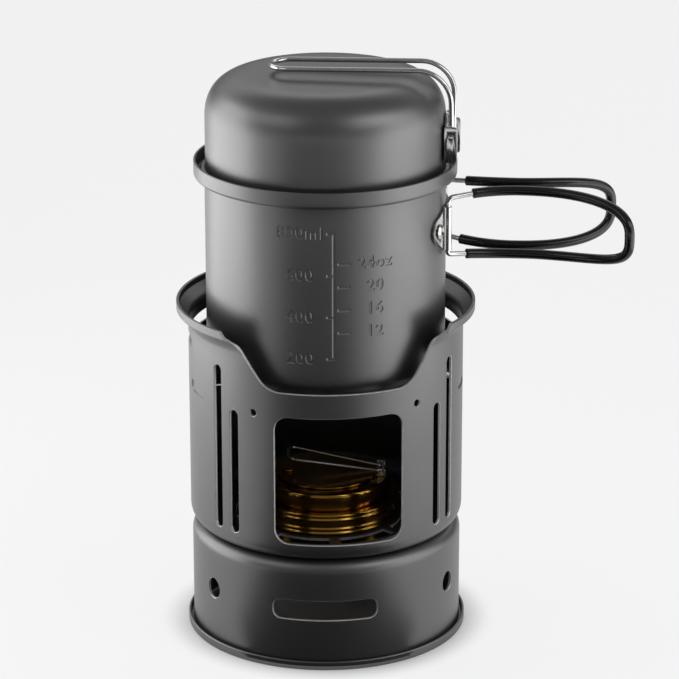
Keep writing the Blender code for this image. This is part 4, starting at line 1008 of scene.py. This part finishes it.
def figure_cutter(text, azimuth, z, material):
    """A cutter for figures pressed into the pot, centred on an azimuth and a height."""
    bpy.ops.object.select_all(action="DESELECT")
    bpy.ops.object.text_add()
    letters = bpy.context.object.data
    letters.body = text
    letters.size = FIGURE_SIZE * MM
    letters.space_character = FIGURE_SPACING
    letters.align_x = letters.align_y = "CENTER"
    letters.resolution_u = FIGURE_STEPS
    letters.extrude = letters.bevel_depth = FIGURE_SLOPE * MM
    letters.bevel_resolution = 0
    bpy.ops.object.convert(target="MESH")
    cutter = bpy.context.object
    for vertex in cutter.data.vertices:
        across, up, out = vertex.co / MM
        turn = azimuth + math.degrees(across / POT_RADIUS)
        vertex.co = polar(turn, POT_RADIUS + SCALE_DEPTH * (1 + out / FIGURE_SLOPE), z + up) * MM
    bpy.ops.object.mode_set(mode="EDIT")
    close_up()
    return paint(cutter, material)


def bar_cutter(first, last, low, high, material):
    """A cutter for a bar of the scale between two azimuths and two heights."""
    half = (last - first) / 2
    count = 2 * max(1, math.ceil(half / COLUMN_STEP))
    columns = [(half * (2 * step / count - 1), low, high) for step in range(count + 1)]
    bottom = POT_RADIUS - SCALE_DEPTH
    radii = (bottom, bottom, POT_RADIUS + SCALE_DEPTH, POT_RADIUS + 2 * SCALE_DEPTH)
    return flared_cutter(columns, (first + last) / 2, radii, material)


def lean(cutter):
    """Leans a cutter of the scale, so that its groove's lower and left flanks take the light."""
    for vertex in cutter.data.vertices:
        depth = POT_RADIUS * MM - math.hypot(vertex.co.x, vertex.co.y)
        shift = SCALE_LEAN * depth / SCALE_DEPTH
        vertex.co.rotate(Matrix.Rotation(shift / (POT_RADIUS * MM), 3, "Z"))
        vertex.co.z += shift


def press_scale(pot, material):
    """Presses the volume scale into the pot's wall."""
    half = SCALE_HALF_WIDTH
    half_angle = math.degrees(half / POT_RADIUS)
    left = SCALE_LINE - half_angle
    right = SCALE_LINE + half_angle
    high = SCALE_LEFT["top"]
    low = high - SCALE_LEFT["step"] * (len(SCALE_LEFT_MARKS) - 1)
    cutters = [bar_cutter(left, right, low - half, high + half, material)]
    for side, marks in ((SCALE_LEFT, SCALE_LEFT_MARKS), (SCALE_RIGHT, SCALE_RIGHT_MARKS)):
        for index, text in enumerate(marks):
            z = side["top"] - side["step"] * index
            cutters.append(bar_cutter(*side["tick"], z - half, z + half, material))
            cutters.append(figure_cutter(text, side["figures"], z, material))
    for cutter in cutters:
        lean(cutter)
    combine(pot, cutters, "DIFFERENCE", crossing=True)
    keep_wall_round(pot)


def make_pot(anodised):
    wall = POT_RADIUS - POT_WALL
    line = outline([
        (0.0, POT_LOW, 0.0),
        (POT_RADIUS, POT_LOW, POT_CORNER),
        (POT_RADIUS, POT_BAND_LOW, 1.6),
        (POT_RIM, POT_BAND_LOW, 1.8),
        (POT_RIM, POT_HIGH, 0.5),
        (POT_RIM_INNER, POT_HIGH, 0.5),
        (POT_RIM_INNER, POT_LEDGE, 0.6),
        (wall, POT_LEDGE, 0.5),
        (wall, POT_LOW + POT_WALL, POT_CORNER - POT_WALL),
        (0.0, POT_LOW + POT_WALL, 0.0),
    ], closed=False)
    body = turn_piece("pot_body", line, anodised)
    press_scale(body, anodised)
    dress(body, "pot", "anodised", "pot_shell")


def make_rivet(name, sizes, material):
    """A domed rivet at the origin with its head along +Z and a flat tail under the grip."""
    head = sizes["head"]
    height = sizes["height"]
    shank = sizes["shank"]
    grip = sizes["grip"]
    dome_radius, dome_height = RIVET_DOME
    tail_radius, tail_height = RIVET_TAIL
    line = outline([
        (0.0, height, 0.0),
        (dome_radius * head, dome_height * height, 1.4),
        (head, RIVET_RIM * height, 0.3),
        (head, 0.0, 0.1),
        (shank, 0.0, 0.1),
        (shank, -grip, 0.1),
        (tail_radius * shank, -grip, 0.1),
        (tail_radius * shank, -grip - tail_height * height, 0.2),
        (0.0, -grip - tail_height * height, 0.0),
    ], closed=False)
    return turn_piece(name, line, material, SMALL_STEPS)


def copied(piece, name):
    select_only(piece)
    bpy.ops.object.duplicate(linked=False)
    copy = bpy.context.object
    copy.name = copy.data.name = name
    return copy


def set_rivets(pattern, sizes, places, turn, body):
    """Copies a rivet to its places, given as name: (azimuth, height), and removes the pattern."""
    for name, (azimuth, z) in places.items():
        rivet = copied(pattern, f"{name}_head")
        seat = Matrix.Translation(polar(azimuth, sizes["surface"], z) * MM)
        place(rivet, turn @ seat @ facing(polar(azimuth, 1.0)))
        dress(rivet, body, "stainless", name)
    bpy.data.objects.remove(pattern, do_unlink=True)


def bracket_columns():
    """The strap seen from outside: round ears at the rivets that widen to the knuckles."""
    ear_angle = math.degrees(EAR_RADIUS / BRACKET_OUTER)
    half = []
    for turn in quarter_turn(EAR_STEPS)[1:]:
        reach = EAR_RADIUS * math.sin(turn)
        half.append((RIVET_ANGLE + ear_angle * math.cos(turn), HANDLE_Z - reach, HANDLE_Z + reach))
    angle, low, high = half[-1]
    for step in range(1, NECK_STEPS + 1):
        share = step / NECK_STEPS
        half.append((
            angle + (BRACKET_SHOULDER_ANGLE - angle) * share,
            low + (BRACKET_LOW - low) * share,
            high + (BRACKET_HIGH - high) * share,
        ))
    count = math.ceil(BRACKET_SHOULDER_ANGLE / COLUMN_STEP)
    for step in range(1, count):
        half.append((BRACKET_SHOULDER_ANGLE * (1 - step / count), BRACKET_LOW, BRACKET_HIGH))
    columns = half + [(0.0, BRACKET_LOW, BRACKET_HIGH)] + [(-a, b, c) for a, b, c in reversed(half)]
    return [(BRACKET_AZIMUTH - a, b, c) for a, b, c in columns]


def make_pot_bracket(stainless):
    strap = wrapped_plate("pot_handle_bracket", bracket_columns(), BRACKET_INNER, BRACKET_OUTER, stainless)
    knuckles = []
    bores = []
    for side in (-1, 1):
        foot = polar(BRACKET_AZIMUTH + side * KNUCKLE_ANGLE, HINGE_RADIUS, BRACKET_LOW)
        head = Vector((foot.x, foot.y, BRACKET_HIGH))
        over = Vector((0, 0, HANDLE_ROOT))
        knuckles.append(round_bar("knuckle", foot, head, KNUCKLE_RADIUS, stainless))
        bores.append(round_bar("bore", foot - over, head + over, KNUCKLE_BORE, stainless))
    combine(strap, knuckles, "UNION")
    combine(strap, bores, "DIFFERENCE")
    dress(strap, "pot", "stainless", "pot_bracket")
    rivet = make_rivet("pot_rivet", POT_RIVET, stainless)
    places = {
        "pot_rivet_front": (BRACKET_AZIMUTH - RIVET_ANGLE, HANDLE_Z),
        "pot_rivet_centre": (BRACKET_AZIMUTH, HANDLE_Z),
        "pot_rivet_rear": (BRACKET_AZIMUTH + RIVET_ANGLE, HANDLE_Z),
    }
    set_rivets(rivet, POT_RIVET, places, Matrix.Identity(4), "pot")


def handle_elevation(length):
    """The loop from the side, as its upper shank, the part under the sleeve and its lower shank."""
    power = 2 / HANDLE_POWER
    near_steps, far_steps = HANDLE_STEPS
    end = []
    for turn in quarter_turn(far_steps)[1:-1]:
        s = HANDLE_BELLY_AT + (length - HANDLE_BELLY_AT) * math.sin(turn) ** power
        end.append((s, HANDLE_BELLY * math.cos(turn) ** power))

    def leg(bare, side):
        near = []
        for step in range(near_steps + 1):
            s = bare + (HANDLE_BELLY_AT - bare) * step / near_steps
            share = (HANDLE_BELLY_AT - s) / HANDLE_BELLY_AT
            near.append((s, HANDLE_ROOT + (HANDLE_BELLY - HANDLE_ROOT) * (1 - share * share)))
        return [Vector((s, 0, side * z)) for s, z in near + end]

    covered = leg(HANDLE_BARE_TOP, 1) + [Vector((length, 0, 0))] + leg(HANDLE_BARE_FOOT, -1)[::-1]
    top = rounded([
        (Vector((0, 0, HANDLE_PIN_HALF_GAP)), 0),
        (Vector((0, 0, HANDLE_ROOT)), HANDLE_TOP_BEND),
        (covered[0], 0),
    ], closed=False)
    foot = rounded([
        (covered[-1], 0),
        (Vector((0, 0, -HANDLE_ROOT)), HANDLE_FOOT_BEND),
        (Vector((0, 0, -HANDLE_PIN_HALF_GAP)), 0),
    ], closed=False)
    return spaced(top)[:-1], spaced(covered), spaced(foot)[1:]


def bowed(line, side):
    """A line in a handle's upright plane, bent to the bow in which the handle folds round the pot."""
    turns = [(point.x / HANDLE_BOW, point.z) for point in line]
    return [Vector((HANDLE_BOW * math.sin(t), side * HANDLE_BOW * (1 - math.cos(t)), z)) for t, z in turns]


def make_pot_handles(stainless, vinyl):
    for name, (side, length, rest) in HANDLES.items():
        hinge = polar(BRACKET_AZIMUTH + side * KNUCKLE_ANGLE, HINGE_RADIUS, HANDLE_Z)
        at_rest = Matrix.Translation(hinge * MM) @ turned_about_axis(rest)
        top, covered, foot = handle_elevation(length)
        path = bowed(top + covered + foot, side)
        wire = wire_piece(f"handle_loop_{name}", path, HANDLE_WIRE, stainless)
        place(wire, at_rest)
        dress(wire, f"{name}_handle", "stainless", f"handle_wire_{name}")
        path = bowed(covered, side)
        sleeve = sleeve_piece(f"handle_grip_{name}", path, HANDLE_SLEEVE, HANDLE_SLEEVE_BORE, vinyl)
        place(sleeve, at_rest)
        dress(sleeve, f"{name}_handle", "sleeve", f"handle_sleeve_{name}")


def shoulder_line(radius, top, inset, drop, steps):
    """The lid's shoulder, from its upright wall to its flat top."""
    power = 2 / LID_POWER
    line = []
    for turn in quarter_turn(steps):
        r = radius - inset * (1 - math.cos(turn) ** power)
        line.append((r, top - drop * (1 - math.sin(turn) ** power), 0.0))
    return line


def make_lid(anodised):
    inside = LID_RADIUS - LID_WALL
    inset, drop = LID_SHOULDER
    curl_radius, curl_top = LID_CURL
    under = LID_TOP - LID_WALL
    half_wall = LID_WALL / 2
    steps = LID_SHOULDER_STEPS
    inner = shoulder_line(inside, under, inset - half_wall, drop - half_wall, steps["inner"])
    corners = [(0.0, under, 0.0)]
    corners += inner[::-1]
    corners += [
        (inside, LID_LOW, 0.3),
        (curl_radius, LID_LOW, 0.8),
        (curl_radius, curl_top, 0.8),
        (LID_RADIUS, curl_top, 0.7),
    ]
    corners += shoulder_line(LID_RADIUS, LID_TOP, inset, drop, steps["outer"])
    corners.append((0.0, LID_TOP, 0.0))
    bowl = turn_piece("lid_dome", outline(corners, closed=False), anodised)
    dress(bowl, "lid", "anodised", "lid_bowl")


def make_lid_handle(stainless):
    turn = turned_about_axis(LID_TURN)
    bracket = bevelled_copy("lid_handle_bracket", "lid_bracket", stainless, SHEET_EDGE)
    dress(bracket, "lid", "stainless", "lid_bracket")
    rivet = make_rivet("lid_rivet", LID_RIVET, stainless)
    places = {f"lid_rivet_{level}": (90.0, z) for level, z in LID_RIVET_HEIGHTS.items()}
    set_rivets(rivet, LID_RIVET, places, turn, "lid")

    bend = rounded([
        (Vector((0, 0, 0)), 0),
        (Vector((0, 0, LID_WIRE_TOP + LID_WIRE_SLOPE)), LID_WIRE_BEND),
        (Vector((LID_WIRE_FAR, 0, LID_WIRE_TOP)), 0),
    ], closed=False)[1:-1]

    def half_route(side):
        route = [
            (Vector((0, side * LID_WIRE_PIN, 0)), 0),
            (Vector((0, side * LID_WIRE_FOOT_HALF, 0)), LID_WIRE_FOOT_BEND),
            (Vector((0, side * LID_WIRE_FOOT_HALF, LID_CHEEK_TOP)), 0),
        ]
        for point in bend:
            share = (point.z - LID_CHEEK_TOP) / (LID_WIRE_SPREAD * LID_WIRE_TOP - LID_CHEEK_TOP)
            share = min(share, 1.0)
            spread = LID_WIRE_TOP_HALF - LID_WIRE_FOOT_HALF
            half = LID_WIRE_FOOT_HALF + spread * share * share * (3 - 2 * share)
            route.append((Vector((point.x, side * half, point.z)), 0))
        route.append((Vector((LID_WIRE_FAR, side * LID_WIRE_TOP_HALF, LID_WIRE_TOP)), LID_WIRE_END_BEND))
        return route

    route = rounded(half_route(-1) + half_route(1)[::-1], closed=False)
    path = [point + Vector(LID_PIVOT) for point in spaced(route)]
    wire = wire_piece("lid_handle_bail", path, LID_WIRE, stainless)
    place(wire, turn)
    dress(wire, "lid_handle", "stainless", "lid_handle_wire")


# Stage, light and camera

def make_stage():
    bpy.ops.object.select_all(action="DESELECT")
    bpy.ops.mesh.primitive_plane_add(size=TABLE_SIZE)
    floor = bpy.context.object
    floor.name = "table_top"
    paint(floor, pale_table())
    corners = [Vector((x, y, FLAG_HEIGHT)) / MM for x, y in FLAG]
    flag = begin("floor_flag", corners[0])
    draw_on(corners)
    bpy.ops.mesh.select_all(action="SELECT")
    bpy.ops.mesh.edge_face_add()
    bpy.ops.object.mode_set(mode="OBJECT")
    paint(flag, dark_felt())
    flag.visible_camera = False
    flag.visible_diffuse = False
    flag.visible_shadow = False


def add_softbox(name, target, place_at, width, height, power):
    """A soft rectangular lamp turned towards a point."""
    lamp = bpy.data.lights.new(name, "AREA")
    lamp.shape = "RECTANGLE"
    lamp.size = width
    lamp.size_y = height
    lamp.energy = power
    holder = add_object(name, lamp)
    holder.location = place_at
    holder.rotation_euler = facing(Vector(target) - Vector(place_at), "-Z").to_euler()
    holder.visible_camera = False


def make_lights():
    for name, settings in SOFTBOXES.items():
        add_softbox(name, *settings)
    world = bpy.data.worlds.new("studio")
    bpy.context.scene.world = world
    world.use_nodes = True
    tree = world.node_tree
    sky = tree.nodes["Background"].inputs
    sky["Color"].default_value = linear("f4f5f7")
    # The room is darker near the table than overhead
    way = add_node(tree, "TexCoord").node.outputs["Generated"]
    height = add_node(tree, "SeparateXYZ", {"Vector": way}).node.outputs["Z"]
    span = dict(zip(("To_Min", "To_Max"), ROOM_LIGHT))
    add_node(tree, "MapRange", {"Value": height}, sky["Strength"], interpolation_type="SMOOTHSTEP", **span)


def make_camera():
    lens = bpy.data.cameras.new("camera")
    lens.lens = CAMERA_LENS
    lens.sensor_width = CAMERA_SENSOR
    camera = add_object("camera", lens)
    pitch = math.radians(CAMERA_PITCH)
    level = Vector((*CAMERA_HEADING, 0.0)).normalized() * math.cos(pitch)
    gaze = level - Vector((0, 0, math.sin(pitch)))
    roll = turned_about_axis(CAMERA_ROLL)
    camera.matrix_world = Matrix.Translation(CAMERA_PLACE) @ facing(gaze, "-Z") @ roll
    bpy.context.scene.camera = camera


def main():
    anodised = hard_anodised_aluminium()
    bare = bare_edge_and_painted_highlight()
    stainless = polished_stainless_steel()
    brass = polished_brass()
    vinyl = black_vinyl()
    make_base_stand(anodised, bare)
    make_windscreen(anodised, bare, stainless)
    make_burner(brass)
    paint(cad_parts["burner_wick"], cotton_wick())
    make_regulator(brass, stainless)
    make_regulator_wire(stainless)
    make_pot(anodised)
    make_pot_bracket(stainless)
    make_pot_handles(stainless, vinyl)
    make_lid(anodised)
    make_lid_handle(stainless)
    make_stage()
    make_lights()
    make_camera()
    bpy.context.scene.view_settings.view_transform = "Standard"


main()
